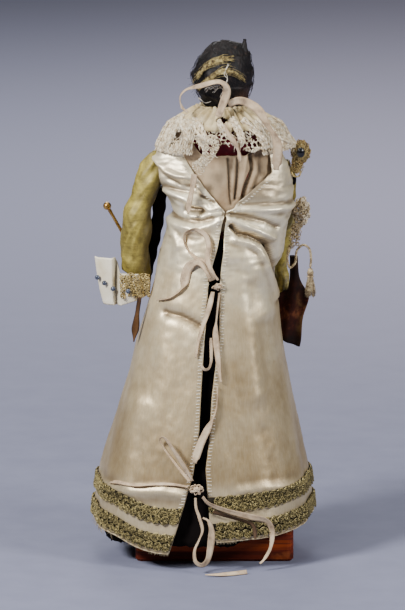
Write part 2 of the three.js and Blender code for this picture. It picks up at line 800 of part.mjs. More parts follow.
function addRightArm() {
  addPiece("sleeve_right", sleeveRightGeometry(), 0x9a8a35, 0.5);
  const hand = handGeometry(-1);
  hand.rotateX(Math.PI / 2);
  hand.translate(-50, -60.5, 236);
  addPiece("hand_right", hand, 0xd9b590, 0.4);
  const ornament = placedEllipsoid(ornamentSize, -69, 0, 321.5, 12, 8);
  addPiece("shoulder_ornament", cut(ornament, gownEnvelope(), sleeveRightTube(gap)), 0xa8843c, 0.5, 0.5);
  const stone = placedEllipsoid(stoneSize, -69.5, 8.6, 326, 8, 6);
  addPiece("shoulder_stone", stone, 0x101010, 0.2);
  const tuft = placedEllipsoid(laceTuftSize, -70, -6, 277.5, 10, 6);
  addPiece("lace_tuft_right", cut(tuft, gownEnvelope()), 0xd7cdb4, 0.9);
  addPiece("velvet_cloth", velvetGeometry(), 0x4a1d12, 0.95);
  const cordPath = [
    new THREE.Vector3(-60.5, 4, 252),
    new THREE.Vector3(-58.5, 5, 242),
    new THREE.Vector3(-60.5, 5, 234),
    new THREE.Vector3(-65, 4, 238),
    new THREE.Vector3(-66, 3, 247),
    new THREE.Vector3(-71, 3, 252),
    new THREE.Vector3(-76, 3, 249),
    new THREE.Vector3(-77.5, 2, 241),
    new THREE.Vector3(-77, 2, 233.5),
  ];
  addPiece("tassel_cord", tubeGeometry(cordPath, 1.8, 14), 0x8a7440, 0.7);
  const tassel = ovalSolid([
    { z: 209, x: -77, y: 2, rx: 4.6, ry: 4 },
    { z: 221, x: -77, y: 2, rx: 4, ry: 3.6 },
    { z: 226, x: -77, y: 2, rx: 2.2, ry: 2.2 },
    { z: 229, x: -77, y: 2, rx: 3, ry: 3 },
    { z: 232.5, x: -77, y: 2, rx: 1.6, ry: 1.6 },
  ], 8);
  addPiece("tassel", tassel, 0x8a7440, 0.7);
}

// The velvet hangs in one thick fold beside the right hip.
function velvetGeometry() {
  const outline = new THREE.Shape();
  outline.moveTo(-52.5, 204);
  outline.lineTo(-59, 210);
  outline.lineTo(-67.6, 223);
  outline.lineTo(-76, 203.5);
  outline.lineTo(-71, 188);
  outline.lineTo(-69, 164.5);
  outline.lineTo(-55, 171);
  outline.closePath();
  const geometry = new THREE.ExtrudeGeometry(outline, {
    depth: 6,
    bevelThickness: 1.4,
    bevelSize: 1.2,
    bevelSegments: 1,
  });
  geometry.rotateX(Math.PI / 2);
  geometry.translate(0, -14, 0);
  return cut(geometry, gownEnvelope());
}

// A knot is a rounded lump that stands just clear of the gown.
function knotGeometry(x, z, size) {
  return placedEllipsoid(size, x, gownBackY(x, z) + size.y + 0.6, z, 8, 6);
}

const pointOf = ([x, y, z]) => new THREE.Vector3(x, y, z);

// The ribbons at the neck and shoulders hang clear of the collar, so each point has its own depth.
function addNeckRibbons() {
  const nape = [
    [-3, 29.5, 362],
    [-6.6, 28, 371.9],
    [-9.6, 28.4, 381],
    [-8.4, 29.4, 387.2],
    [-3.6, 30, 390.4],
    [3.4, 29.8, 389.4],
    [10.4, 28.4, 387],
    [17.6, 26, 385],
    [23, 23.6, 382.4],
    [26.8, 22, 378],
    [27.4, 21.6, 373],
    [25.6, 23.4, 368],
    [21.4, 26.4, 365],
  ];
  addRibbon("ribbon_nape", nape.map(pointOf));
  const strap = [
    [-10.6, 25.5, 371.5],
    [-20, 26, 374.4],
    [-29, 26, 371.2],
    [-36, 28, 365.8],
    [-42, 29.6, 355.6],
    [-48.2, 31, 346],
    [-50.6, 30.8, 338],
    [-50.2, 28.6, 328],
    [-49, 26, 318],
  ];
  addRibbon("ribbon_strap", strap.map(pointOf));
  const shoulder = [
    [16, 34, 316],
    [17, 33, 308],
    [18.5, 33, 300],
    [20.5, 34, 291],
    [21, 35.5, 284],
  ];
  addRibbon("ribbon_shoulder", shoulder.map(pointOf));
  const collar = [
    [-8.4, 32.2, 357],
    [-11, 34.2, 349],
    [-16, 35.6, 342],
    [-19.5, 36, 335],
    [-20.4, 34, 326],
  ];
  addRibbon("ribbon_collar", collar.map(pointOf));
}

function addWaistRibbons() {
  addPiece("waist_knot", knotGeometry(-2, 227, waistKnotSize), 0xcdbeb0, 0.6);
  addRibbon("ribbon_waist_loop", ribbonPoints([
    [1.6, 231.4],
    [7.7, 244.5, 0],
    [14.3, 248.3],
    [20, 253],
    [24, 259.5, 0.5],
    [23.5, 267, 1.2],
    [15.7, 271, 2],
    [7.5, 267.5, 3],
    [4.7, 259.4, 3.4],
    [5.7, 250, 3.8],
    [3, 241, 4],
    [-3, 232.5, 4],
  ]));
  addRibbon("ribbon_waist_left", ribbonPoints([
    [3.4, 233.5, 2.9],
    [8, 242, 2.9],
    [12.1, 245.8, 2.8],
    [16.3, 245, 1.4],
    [20.6, 240.8, 0.2],
    [23.1, 234.4],
    [24.6, 228],
    [27, 223.4],
    [31, 219.6],
    [37, 215.6, 0.6],
    [46, 212.4, 3],
  ]));
  addRibbon("ribbon_waist_low", ribbonPoints([
    [1.2, 222.6],
    [4.6, 209.2],
    [8.6, 197.8],
    [12.6, 184.9],
    [15, 171],
  ]));
  addRibbon("ribbon_waist_long", ribbonPoints([
    [-4, 221.8],
    [-1.8, 202.5],
    [-0.9, 188],
    [-3.4, 165.1],
    [-5.2, 151.5],
  ]));
  addRibbon("ribbon_curl", ribbonPoints([
    [11, 165],
    [8, 161.8],
    [4.6, 162.8],
    [2.8, 168],
    [2.6, 175.5],
    [2.9, 183],
  ]));
  addRibbon("ribbon_slit", ribbonPoints([
    [-2.3, 148.5],
    [-2.3, 140],
    [-1.2, 130],
    [2, 121.5],
    [6.4, 113],
    [11, 103.5],
    [14.4, 94],
    [16.2, 88],
  ]));
}

function addHemRibbons() {
  addPiece("hem_knot", knotGeometry(14.3, 67.6, hemKnotSize), 0xcdbeb0, 0.6);
  addRibbon("ribbon_hem_loop", ribbonPoints([
    [19.8, 73.4],
    [28.2, 84.8, 0.2],
    [34.8, 95.4, 0.4],
    [40.6, 103.8, 1],
    [39.6, 106.8, 2.2],
    [36.4, 105.2, 3.4],
    [31, 97, 3.4],
    [24.6, 85.6, 3.4],
    [17.4, 74.6, 3.4],
  ]));
  addRibbon("ribbon_hem_right", ribbonPoints([
    [9.5, 61.6, 0.8],
    [3.8, 56, 2],
    [-10, 49.9, 2],
    [-27.8, 44.4, 2],
    [-41, 40.6, 2],
    [-46, 32.5, 2],
    [-45.2, 19.4, 2.2],
    [-40.4, 10.4, 2.2],
    [-36.4, 6.4, 2.2],
  ]));
  addRibbon("ribbon_hem_hanging", ribbonPoints([
    [15.2, 60.8, 1],
    [14.7, 53.2, 1],
    [12.2, 45.6, 1],
    [9.6, 35.6, 1],
    [12.2, 27.6, 1],
    [15.8, 19.1, 1.4],
    [15.2, 10.8, 2.4],
    [10.2, 7.4, 3.2],
    [5.6, 12, 4],
    [3.3, 22.4, 4.4],
    [2.4, 35, 4.4],
    [4.8, 43, 4.4],
    [9.4, 45.8, 4.6],
  ]));
  addRibbon("ribbon_hem_left", ribbonPoints([
    [21.2, 69.2, 0.4],
    [32.9, 70.4],
    [46.8, 69.8],
    [60.6, 67.8, 1.8],
    [70, 67.6, 2.2],
    [78.5, 67.6, 2.8],
    [84, 65.6, 3],
  ]));
  addRibbon("ribbon_hem_dark", ribbonPoints([
    [1, 50, 1.8],
    [-10, 46, 1.8],
    [-24, 41.2, 1.8],
    [-30.4, 38, 1.8],
    [-32.4, 32, 1.8],
    [-32.4, 26.5, 1.8],
  ]));
  const floorTail = [
    [-26, 85, 1.3],
    [-16, 90, 1.3],
    [-5, 94, 1.3],
    [7.5, 95, 1.3],
  ];
  addRibbon("ribbon_floor", floorTail.map(pointOf));
}

addBody();
addHead();
addLeftArm();
addRightArm();
addNeckRibbons();
addWaistRibbons();
addHemRibbons();

export default statuette;
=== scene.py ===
import math
import random

import bpy
from mathutils import Matrix, Quaternion, Vector, noise


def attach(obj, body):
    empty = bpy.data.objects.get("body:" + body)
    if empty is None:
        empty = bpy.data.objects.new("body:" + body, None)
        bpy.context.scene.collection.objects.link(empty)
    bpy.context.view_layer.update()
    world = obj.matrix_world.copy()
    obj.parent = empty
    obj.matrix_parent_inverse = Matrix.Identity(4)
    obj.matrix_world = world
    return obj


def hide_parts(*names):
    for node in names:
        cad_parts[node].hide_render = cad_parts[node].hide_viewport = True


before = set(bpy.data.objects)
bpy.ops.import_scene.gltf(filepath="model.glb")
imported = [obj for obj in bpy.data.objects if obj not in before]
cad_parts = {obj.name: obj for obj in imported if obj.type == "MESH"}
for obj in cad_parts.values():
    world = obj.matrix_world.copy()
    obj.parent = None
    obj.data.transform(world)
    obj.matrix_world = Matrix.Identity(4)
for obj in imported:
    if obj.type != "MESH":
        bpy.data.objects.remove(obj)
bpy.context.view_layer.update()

# A small dressed wax figure seen from behind. Sizes are in metres, +Z up.
# The figure faces -Y, so its back is towards +Y and its left is +X.
random.seed(7)

MM = 0.001

# Camera, lamps and floor
CAMERA_DISTANCE = 8.0
CAMERA_ELEVATION = math.radians(12)
CAMERA_TARGET = Vector((0.0096, 0.0, 0.2021))
PICTURE_HEIGHT = 0.4905
SENSOR = 36.0
FLOOR_HALF = 24.0
LAMP_TARGET = Vector((0, 0, 0.2))

# Each lamp: name, place, watts and width
LAMPS = [
    ("left_lamp", (1.2, 1.0, 1.35), 62, 0.40),
    ("right_lamp", (-1.3, 0.9, 1.00), 26, 0.45),
    ("top_lamp", (0.1, 0.3, 1.9), 10, 0.6),
    ("front_lamp", (0.2, -1.9, 1.3), 22, 0.8),
]

# Gown, and likewise bodice, blouse, collar and hair: z and the left, right, back and front reach
GOWN_ROWS = [
    (0.000, 0.0970, -0.0785, 0.080, 0.072),
    (0.030, 0.0970, -0.0790, 0.077, 0.070),
    (0.063, 0.0930, -0.0765, 0.072, 0.063),
    (0.090, 0.0860, -0.0710, 0.068, 0.056),
    (0.147, 0.0690, -0.0590, 0.058, 0.048),
    (0.173, 0.0630, -0.0550, 0.054, 0.045),
    (0.200, 0.0550, -0.0515, 0.049, 0.041),
    (0.222, 0.0485, -0.0480, 0.044, 0.037),
    (0.246, 0.0435, -0.0550, 0.039, 0.034),
    (0.266, 0.0380, -0.0575, 0.035, 0.032),
    (0.284, 0.0345, -0.0625, 0.032, 0.031),
    (0.300, 0.0420, -0.0630, 0.029, 0.030),
    (0.311, 0.0480, -0.0610, 0.027, 0.028),
    (0.320, 0.0500, -0.0580, 0.024, 0.026),
    (0.327, 0.0470, -0.0540, 0.020, 0.023),
    (0.333, 0.0450, -0.0540, 0.021, 0.023),
    (0.340, 0.0410, -0.0510, 0.023, 0.022),
]
GOWN_TOP = 0.340
GOWN_SQUARENESS = 2.3
GOWN_THICKNESS = 0.0012
GOWN_COLUMNS = 200
GOWN_LEVELS = 196
GOWN_MIDDLE = 0.005
GOWN_CROWDING = 0.55
SKIRT_FOLD_START = 0.230
HEM_FOLD_DEPTH = 0.0024
FLUTE_DEPTH = 0.0022

# The two edges of the slit: z and x
SLIT_RIGHT_ROWS = [
    (0.000, -0.0020), (0.023, -0.0020), (0.036, 0.0036), (0.062, 0.0056), (0.082, 0.0072),
    (0.105, 0.0044), (0.140, 0.0022), (0.170, -0.0016), (0.184, -0.0036), (0.232, -0.0044),
    (0.284, -0.0093), (0.315, -0.0460), (0.327, -0.0440), (0.340, -0.0430),
]
SLIT_LEFT_ROWS = [
    (0.000, 0.0370), (0.014, 0.0370), (0.038, 0.0290), (0.060, 0.0220), (0.078, 0.0170),
    (0.105, 0.0126), (0.150, 0.0102), (0.200, 0.0070), (0.232, 0.0046), (0.261, -0.0031),
    (0.280, -0.0069), (0.284, -0.0083), (0.306, 0.0100), (0.317, 0.0176), (0.327, 0.0240), (0.340, 0.0280),
]
V_FOOT = 0.272

# Folds in the satin: points (x, z), half width and height. They fade out in front of FOLDS_FROM.
GOWN_FOLDS = [
    ([(-0.0100, 0.2872), (-0.0322, 0.2865), (-0.0506, 0.2860), (-0.0626, 0.2849)], 0.0026, 0.0017),
    ([(-0.0212, 0.2910), (-0.0414, 0.2897), (-0.0616, 0.2884)], 0.0028, -0.0010),
    ([(-0.0120, 0.2836), (-0.0277, 0.2804), (-0.0414, 0.2765), (-0.0506, 0.2712)], 0.0022, -0.0018),
    ([(-0.0110, 0.2791), (-0.0231, 0.2743), (-0.0341, 0.2691), (-0.0460, 0.2621)], 0.0026, 0.0020),
    ([(-0.0139, 0.2735), (-0.0203, 0.2670), (-0.0300, 0.2648), (-0.0400, 0.2600), (-0.0465, 0.2525),
      (-0.0492, 0.2405)], 0.0019, -0.0036),
    ([(-0.0157, 0.2632), (-0.0270, 0.2606), (-0.0355, 0.2537), (-0.0406, 0.2447), (-0.0433, 0.2352),
      (-0.0480, 0.2121)], 0.0024, 0.0016),
    ([(0.0376, 0.2751), (0.0293, 0.2721), (0.0155, 0.2700), (0.0045, 0.2738), (-0.0040, 0.2783)],
     0.0024, 0.0014),
    ([(0.0366, 0.2795), (0.0275, 0.2775), (0.0155, 0.2768), (0.0027, 0.2795)], 0.0026, -0.0012),
    ([(0.0215, 0.2855), (0.0164, 0.2850), (0.0110, 0.2855)], 0.0034, -0.0034),
    ([(-0.0047, 0.2883), (0.0045, 0.2868), (0.0118, 0.2885), (0.0200, 0.2905)], 0.0018, 0.0013),
    ([(-0.0038, 0.2837), (0.0045, 0.2824), (0.0100, 0.2801), (0.0200, 0.2800)], 0.0018, 0.0010),
    ([(0.0486, 0.3246), (0.0394, 0.3159), (0.0293, 0.3121), (0.0173, 0.3116)], 0.0030, 0.0016),
    ([(0.0495, 0.3192), (0.0385, 0.3097), (0.0284, 0.3049), (0.0164, 0.3035)], 0.0026, -0.0016),
    ([(0.0385, 0.2978), (0.0293, 0.2958), (0.0210, 0.2925)], 0.0024, 0.0014),
    ([(0.0394, 0.3023), (0.0284, 0.3003), (0.0155, 0.2990), (0.0008, 0.2928)], 0.0020, -0.0014),
    ([(0.0137, 0.3035), (0.0045, 0.2964), (-0.0038, 0.2892)], 0.0018, 0.0008),
    ([(0.0366, 0.2716), (0.0320, 0.2638), (0.0293, 0.2560)], 0.0024, 0.0010),
    ([(0.0390, 0.2035), (0.0280, 0.2020), (0.0180, 0.1980), (0.0120, 0.1950)], 0.0035, -0.0022),
    ([(-0.0060, 0.2540), (-0.0200, 0.2500), (-0.0310, 0.2400), (-0.0370, 0.2250), (-0.0410, 0.2050)],
     0.0080, 0.0016),
    ([(-0.0440, 0.2560), (-0.0475, 0.2480), (-0.0500, 0.2350), (-0.0525, 0.2200)], 0.0028, -0.0022),
    ([(-0.0200, 0.2300), (-0.0260, 0.1900), (-0.0330, 0.1400)], 0.0080, 0.0014),
    ([(-0.0400, 0.1100), (-0.0480, 0.0800), (-0.0500, 0.0600)], 0.0080, -0.0008),
    ([(0.0600, 0.1300), (0.0680, 0.0950), (0.0720, 0.0700)], 0.0080, 0.0016),
    ([(0.0880, 0.0600), (0.0640, 0.0620), (0.0400, 0.0640), (0.0240, 0.0620)], 0.0040, 0.0016),
    ([(-0.0200, 0.0640), (-0.0400, 0.0660), (-0.0620, 0.0640)], 0.0036, 0.0012),
]
FOLDS_FROM = -0.012

# Painted shade on the satin, such as on the V's right, on the left shoulder and under the collar: centre x
# and z, half width, half height and strength
GOWN_SHADES = [
    (-0.0350, 0.3050, 0.0250, 0.0170, 0.95), (-0.0250, 0.2700, 0.0100, 0.0050, 0.30),
    (0.0330, 0.3160, 0.0180, 0.0095, 0.65), (0.0300, 0.3040, 0.0150, 0.0045, 0.55),
    (0.0430, 0.3060, 0.0060, 0.0050, 0.50), (0.0560, 0.0980, 0.0320, 0.0200, 0.22),
    (0.0400, 0.3420, 0.0160, 0.0090, 0.85), (-0.0540, 0.3420, 0.0160, 0.0080, 0.85),
    (0.0330, 0.2640, 0.0110, 0.0080, 0.20), (0.0300, 0.0560, 0.0200, 0.0060, 0.20),
]

# Small openings in the satin, two worn slashes and an eyelet: both ends and the half width
GOWN_OPENINGS = [
    (0.0246, 0.3320, 0.0219, 0.3245, 0.0013),
    (0.0200, 0.3230, 0.0160, 0.3155, 0.0012),
    (-0.0540, 0.3275, -0.0546, 0.3245, 0.0019),
]
OPENINGS_FROM = 0.31

# The drop of the hem at its corners beside the slit, and the two bands of braid above it
HEM_LEVEL = 0.028
LEFT_CORNER_DROP = 0.014
RIGHT_CORNER_DROP = 0.004
RIGHT_SIDE_LIFT = 0.004
LOWER_BRAID = (0.0020, 0.0165)
UPPER_BRAID = (0.0235, 0.0375)
BRAID_OFFSET = 0.0013
BRAID_WIRE = 0.00033
ROSETTE_PITCH = 0.0069
ROSETTE_REACH = 0.0037
ROSETTE_CURLS = 8
CURL_STEPS = 8
STITCH_PITCH = 0.0026
STITCH_RADIUS = 0.00030

# Inner clothes
UNDER_SKIRT_HEM = 0.0185
UNDER_SKIRT_TOP = 0.262
UNDER_SKIRT_INSET = 0.0072
BODICE_ROWS = [
    (0.2624, 0.0310, -0.0480, 0.0280, 0.0250),
    (0.2850, 0.0280, -0.0500, 0.0245, 0.0230),
    (0.3000, 0.0330, -0.0520, 0.0225, 0.0210),
    (0.3110, 0.0370, -0.0500, 0.0210, 0.0195),
    (0.3285, 0.0370, -0.0470, 0.0190, 0.0175),
    (0.3360, 0.0390, -0.0530, 0.0222, 0.0200),
    (0.3480, 0.0340, -0.0460, 0.0218, 0.0178),
    (0.3560, 0.0170, -0.0300, 0.0165, 0.0136),
    (0.3590, 0.0100, -0.0230, 0.0120, 0.0110),
    (0.3594, 0.0000, -0.0130, 0.0010, 0.0010),
]
BLOUSE_ROWS = [
    (0.2680, 0.0320, -0.0510, 0.0285, 0.0260),
    (0.2850, 0.0310, -0.0540, 0.0268, 0.0255),
    (0.3000, 0.0360, -0.0565, 0.0255, 0.0240),
    (0.3110, 0.0400, -0.0540, 0.0245, 0.0225),
    (0.3200, 0.0410, -0.0515, 0.0235, 0.0210),
    (0.3285, 0.0395, -0.0500, 0.0225, 0.0195),
    (0.3360, 0.0420, -0.0560, 0.0250, 0.0225),
    (0.3480, 0.0375, -0.0495, 0.0238, 0.0206),
    (0.3560, 0.0195, -0.0325, 0.0186, 0.0156),
]
BLOUSE_FOLDS = [
    ([(-0.0102, 0.3260), (-0.0116, 0.3099), (-0.0130, 0.2900)], 0.0013, -0.0012),
    ([(-0.0150, 0.3260), (-0.0146, 0.3110), (-0.0140, 0.2940)], 0.0012, 0.0010),
    ([(-0.0185, 0.3260), (-0.0180, 0.3120), (-0.0160, 0.2944)], 0.0012, -0.0014),
    ([(-0.0250, 0.3270), (-0.0225, 0.3110), (-0.0196, 0.2960)], 0.0012, 0.0014),
    ([(-0.0290, 0.3287), (-0.0304, 0.3173), (-0.0249, 0.3050), (-0.0221, 0.2960)], 0.0012, -0.0024),
    ([(-0.0340, 0.3260), (-0.0330, 0.3160), (-0.0286, 0.3040)], 0.0014, 0.0010),
]
NECKLINE_BACK = 0.3285
NECKLINE_SIDE = 0.3540

# How drawn folds are raised, and how far they reach in widths
FOLD_DEPTH = 1.8
FOLD_REACH = 2.4
RIDGE_SHARPNESS = 2.0
HOLLOW_SHARPNESS = 1.5

# Ribbons
RIBBON_LIFT = 0.0022
RIBBON_THICKNESS = 0.00032
RIBBON_COLUMNS = 5
RIBBON_FACE = Vector((0, 1, 0.15))

# Collar, from the neck to its outer edge. Its cells are those of the lace pattern.
COLLAR_ROWS = [
    (0.3600, 0.0060, -0.0190, 0.0125, 0.0125),
    (0.3650, 0.0150, -0.0300, 0.0190, 0.0170),
    (0.3520, 0.0370, -0.0535, 0.0280, 0.0240),
    (0.3320, 0.0470, -0.0640, 0.0315, 0.0285),
]
COLLAR_COLUMNS = 460
COLLAR_LEVELS = 84
COLLAR_CELL_WIDTH = 0.00062
COLLAR_CELL_LENGTH = 0.0007
COLLAR_SCALLOP = 0.0118
COLLAR_BORDER = 0.0165

# Torn holes in the collar: centre x and z, half width and half height
COLLAR_HOLES = [
    (0.0290, 0.3450, 0.0036, 0.0022), (0.0385, 0.3410, 0.0016, 0.0011), (0.0215, 0.3405, 0.0013, 0.0019),
    (0.0335, 0.3375, 0.0011, 0.0015), (-0.0310, 0.3445, 0.0022, 0.0016), (-0.0350, 0.3390, 0.0013, 0.0020),
    (-0.0272, 0.3392, 0.0012, 0.0018), (-0.0050, 0.3575, 0.0044, 0.0026), (0.0060, 0.3470, 0.0012, 0.0018),
]

# Strips that lie over the collar: points (x, z) and width
COLLAR_STRIPS = [
    ([(0.0120, 0.3600), (0.0125, 0.3520), (0.0090, 0.3440), (0.0085, 0.3370)], 0.0080),
    ([(-0.0010, 0.3620), (-0.0040, 0.3560), (-0.0095, 0.3490), (-0.0160, 0.3430)], 0.0052),
    ([(-0.0120, 0.3600), (-0.0180, 0.3530), (-0.0215, 0.3440), (-0.0190, 0.3380)], 0.0060),
    ([(-0.0220, 0.3590), (-0.0300, 0.3520), (-0.0380, 0.3440), (-0.0430, 0.3350)], 0.0050),
    ([(-0.0470, 0.3450), (-0.0550, 0.3390), (-0.0600, 0.3320)], 0.0060),
    ([(0.0230, 0.3600), (0.0262, 0.3550), (0.0230, 0.3490), (0.0210, 0.3420)], 0.0052),
]
LACE_FALL_PATH = [
    (0.0075, 0.0362, 0.3480), (0.0060, 0.0364, 0.3430), (0.0035, 0.0366, 0.3370), (0.0050, 0.0368, 0.3320),
    (0.0090, 0.0370, 0.3275), (0.0120, 0.0368, 0.3235), (0.0125, 0.0364, 0.3185),
]

# Head and neck
HEAD_CENTRE = Vector((-0.0064, -0.003, 0.385))
HEAD_SIZE = Vector((0.019, 0.0225, 0.027))
NOSE_TIP = -0.0082
NECK_ROWS = [(0.3560, 0.0100), (0.3600, 0.0094), (0.3650, 0.0088), (0.3700, 0.0090), (0.3745, 0.0096)]

# Forms of the face: depth, distance from the middle, height above the centre, half width, half height, power
FACE_FORMS = [
    (0.0009, 0.0070, 0.0052, 0.0055, 0.0020, 2),  # brow bones
    (-0.0026, 0.0074, 0.0004, 0.0044, 0.0032, 2),  # eye sockets
    (0.0011, 0.0074, 0.0016, 0.0040, 0.0010, 2),  # upper rims of the eyes
    (0.0008, 0.0074, -0.0026, 0.0036, 0.0010, 2),  # lower rims of the eyes
    (0.0017, 0.0027, -0.0082, 0.0012, 0.0014, 2),  # wings of the nose
    (0.0013, 0.0, -0.0141, 0.0052, 0.0012, 4),  # upper lip
    (0.0016, 0.0, -0.0171, 0.0044, 0.0014, 4),  # lower lip
    (-0.0008, 0.0, -0.0155, 0.0056, 0.0006, 4),  # line of the mouth
    (-0.0007, 0.0, -0.0195, 0.0050, 0.0011, 2),  # hollow under the lip
    (0.0020, 0.0, -0.0228, 0.0052, 0.0030, 2),  # chin
    (0.0010, 0.0098, -0.0075, 0.0042, 0.0046, 2),  # cheeks
]

# Hair, straw bands and the white threads over them
HAIR_ROWS = [
    (0.3640, 0.0070, -0.0220, 0.0130, 0.0080),
    (0.3740, 0.0120, -0.0270, 0.0200, 0.0140),
    (0.3820, 0.0155, -0.0294, 0.0240, 0.0180),
    (0.3900, 0.0184, -0.0306, 0.0260, 0.0220),
    (0.3980, 0.0150, -0.0294, 0.0255, 0.0240),
    (0.4040, 0.0120, -0.0286, 0.0225, 0.0220),
    (0.4100, 0.0080, -0.0274, 0.0170, 0.0170),
    (0.4150, 0.0025, -0.0230, 0.0095, 0.0090),
    (0.4178, -0.0020, -0.0110, 0.0030, 0.0030),
]
STRAW_UPPER = [
    (0.018, 0.386), (0.013, 0.394), (0.007, 0.401), (0.0, 0.4055), (-0.008, 0.4075), (-0.016, 0.407),
]
STRAW_LOWER = [
    (0.014, 0.381), (0.009, 0.388), (0.001, 0.395), (-0.008, 0.3985), (-0.017, 0.396), (-0.026, 0.388),
]
THREAD_TANGLES = [
    [(-0.0108, 0.4040), (-0.0085, 0.3970), (-0.0110, 0.3920), (-0.0074, 0.3880), (-0.0050, 0.3860)],
    [(0.0060, 0.3800), (0.0020, 0.3860), (-0.0010, 0.3820), (-0.0030, 0.3880), (-0.0060, 0.3840)],
    [(0.0020, 0.3850), (-0.0020, 0.3890), (-0.0060, 0.3900), (-0.0090, 0.3870)],
    [(0.0000, 0.3800), (-0.0040, 0.3850), (-0.0070, 0.3830), (-0.0060, 0.3760), (-0.0080, 0.3700)],
    [(0.0080, 0.3830), (0.0050, 0.3850), (0.0020, 0.3830), (0.0000, 0.3860), (-0.0030, 0.3850)],
    [(0.0150, 0.3700), (0.0120, 0.3730), (0.0080, 0.3690), (0.0040, 0.3720)],
]

# Sleeves: z, centre x and y, and the half axes of the section
SLEEVE_LEFT = [
    (0.2310, 0.0635, -0.004, 0.0115, 0.0120), (0.2430, 0.0636, -0.004, 0.0122, 0.0150),
    (0.2610, 0.0640, -0.003, 0.0126, 0.0170), (0.2790, 0.0610, -0.003, 0.0116, 0.0160),
    (0.2920, 0.0570, -0.002, 0.0108, 0.0150), (0.3110, 0.0500, -0.001, 0.0122, 0.0130),
    (0.3240, 0.0460, -0.001, 0.0090, 0.0090), (0.3290, 0.0440, -0.001, 0.0050, 0.0050),
]
SLEEVE_RIGHT = [
    (0.2050, -0.0535, -0.034, 0.0060, 0.0070), (0.2150, -0.0540, -0.038, 0.0072, 0.0110),
    (0.2260, -0.050, -0.040, 0.0094, 0.0116), (0.2380, -0.051, -0.038, 0.0110, 0.0130),
    (0.2620, -0.052, -0.030, 0.0120, 0.0150), (0.2850, -0.054, -0.018, 0.0120, 0.0150),
    (0.3050, -0.055, -0.008, 0.0105, 0.0120), (0.3200, -0.054, -0.003, 0.0070, 0.0080),
]

# Left arm: the near-black robe between sleeve and gown, which also paints the deep shade of that gap, the
# plan of the cuff, its beads and the rod
INNER_DARK_PATH = [
    (0.0430, -0.013, 0.2960), (0.0455, -0.014, 0.2700), (0.0500, -0.014, 0.2440), (0.0545, -0.013, 0.2230),
    (0.0560, -0.012, 0.2130),
]
CUFF_PLAN = [
    (0.052, -0.003), (0.062, 0.0095), (0.075, 0.0095), (0.079, 0.003), (0.083, 0.008), (0.096, 0.001),
    (0.093, -0.024), (0.076, -0.030), (0.056, -0.026),
]
CUFF_BEADS = [
    (0.0940, 0.0056, 0.2260), (0.0884, 0.0086, 0.2220), (0.0815, 0.0096, 0.2175), (0.0692, 0.0150, 0.2165),
]
ROD_FOOT = Vector((0.054, -0.044, 0.216))
ROD_TOP = Vector((0.0864, -0.034, 0.2765))
ROD_BALL = 0.0033

# Hands, in millimetres: centre and half axes of the forms of the palm, and the extra length of each finger
PALM_BALLS = [(0, 0, 5, 6.6, 3.6, 7), (2.5, 0.4, 9, 4.6, 3.2, 5), (-2.5, 0.4, 9, 4.6, 3.2, 5)]
FINGER_REACH = [0.0, 1.4, 1.0, -0.6]

# Right arm: the stone of the ornament, the velvet's z with its inner and outer x, the tassel and its cord
STONE_PLACE = Vector((-0.0690, 0.0070, 0.3285))
VELVET_ROWS = [
    (0.1650, -0.0660, -0.0690), (0.1705, -0.0548, -0.0700), (0.1880, -0.0520, -0.0714),
    (0.2040, -0.0504, -0.0762), (0.2075, -0.0520, -0.0750), (0.2100, -0.0580, -0.0740),
    (0.2160, -0.0600, -0.0704), (0.2230, -0.0606, -0.0682), (0.2390, -0.0606, -0.0672),
]
TASSEL_CORD = [
    (-0.0605, 0.004, 0.2520), (-0.0585, 0.005, 0.2420), (-0.0605, 0.005, 0.2340), (-0.0650, 0.004, 0.2380),
    (-0.0660, 0.003, 0.2470), (-0.0710, 0.003, 0.2520), (-0.0760, 0.003, 0.2490), (-0.0775, 0.002, 0.2410),
    (-0.0770, 0.002, 0.2335),
]
TASSEL_TOP = Vector((-0.077, 0.002, 0.2325))

# How far a thread of the tassel stands out, and how far down
TASSEL_PROFILE = [(0.0010, 0.0004), (0.0028, 0.0034), (0.0020, 0.0068), (0.0036, 0.0130)]

# The period in metres of a wave texture whose scale is 1
BANDS_PER_SCALE = 0.314


# Curves and rows

def read_rows(rows, z):
    """Values at height z from rows sorted by z, along a smooth curve through them."""
    if z <= rows[0][0]:
        return rows[0][1:]
    if z >= rows[-1][0]:
        return rows[-1][1:]
    i = 1
    while rows[i][0] < z:
        i += 1
    low, high = rows[i - 1], rows[i]
    before = rows[i - 2] if i > 1 else low
    after = rows[i + 1] if i + 1 < len(rows) else high
    span = high[0] - low[0]
    t = (z - low[0]) / span
    values = []
    for k in range(1, len(low)):
        slope_low = (high[k] - before[k]) / (high[0] - before[0]) * span
        slope_high = (after[k] - low[k]) / (after[0] - low[0]) * span
        values.append(
            (2 * t**3 - 3 * t**2 + 1) * low[k] + (t**3 - 2 * t**2 + t) * slope_low
            + (3 * t**2 - 2 * t**3) * high[k] + (t**3 - t**2) * slope_high
        )
    return values


def read_line(rows, z):
    """The same in straight lines, for edges with corners."""
    if z <= rows[0][0]:
        return rows[0][1]
    for low, high in zip(rows, rows[1:]):
        if z <= high[0]:
            return low[1] + (high[1] - low[1]) * (z - low[0]) / (high[0] - low[0])
    return rows[-1][1]


def between(a, b, c, d, t):
    """The place at share t of the way from b to c, on a smooth curve through all four."""
    return 0.5 * (2 * b + (c - a) * t + (2 * a - 5 * b + 4 * c - d) * t**2 + (3 * b - a - 3 * c + d) * t**3)


def smooth_path(points, step):
    """A smooth curve through points, sampled about every step."""
    points = [Vector(p) for p in points]
    ends = [points[0] * 2 - points[1]] + points + [points[-1] * 2 - points[-2]]
    path = []
    for i in range(1, len(ends) - 2):
        count = max(2, round((ends[i + 1] - ends[i]).length / step))
        path += [between(*ends[i - 1:i + 3], k / count) for k in range(count)]
    path.append(points[-1])
    return path


def path_length(path):
    return sum((b - a).length for a, b in zip(path, path[1:]))


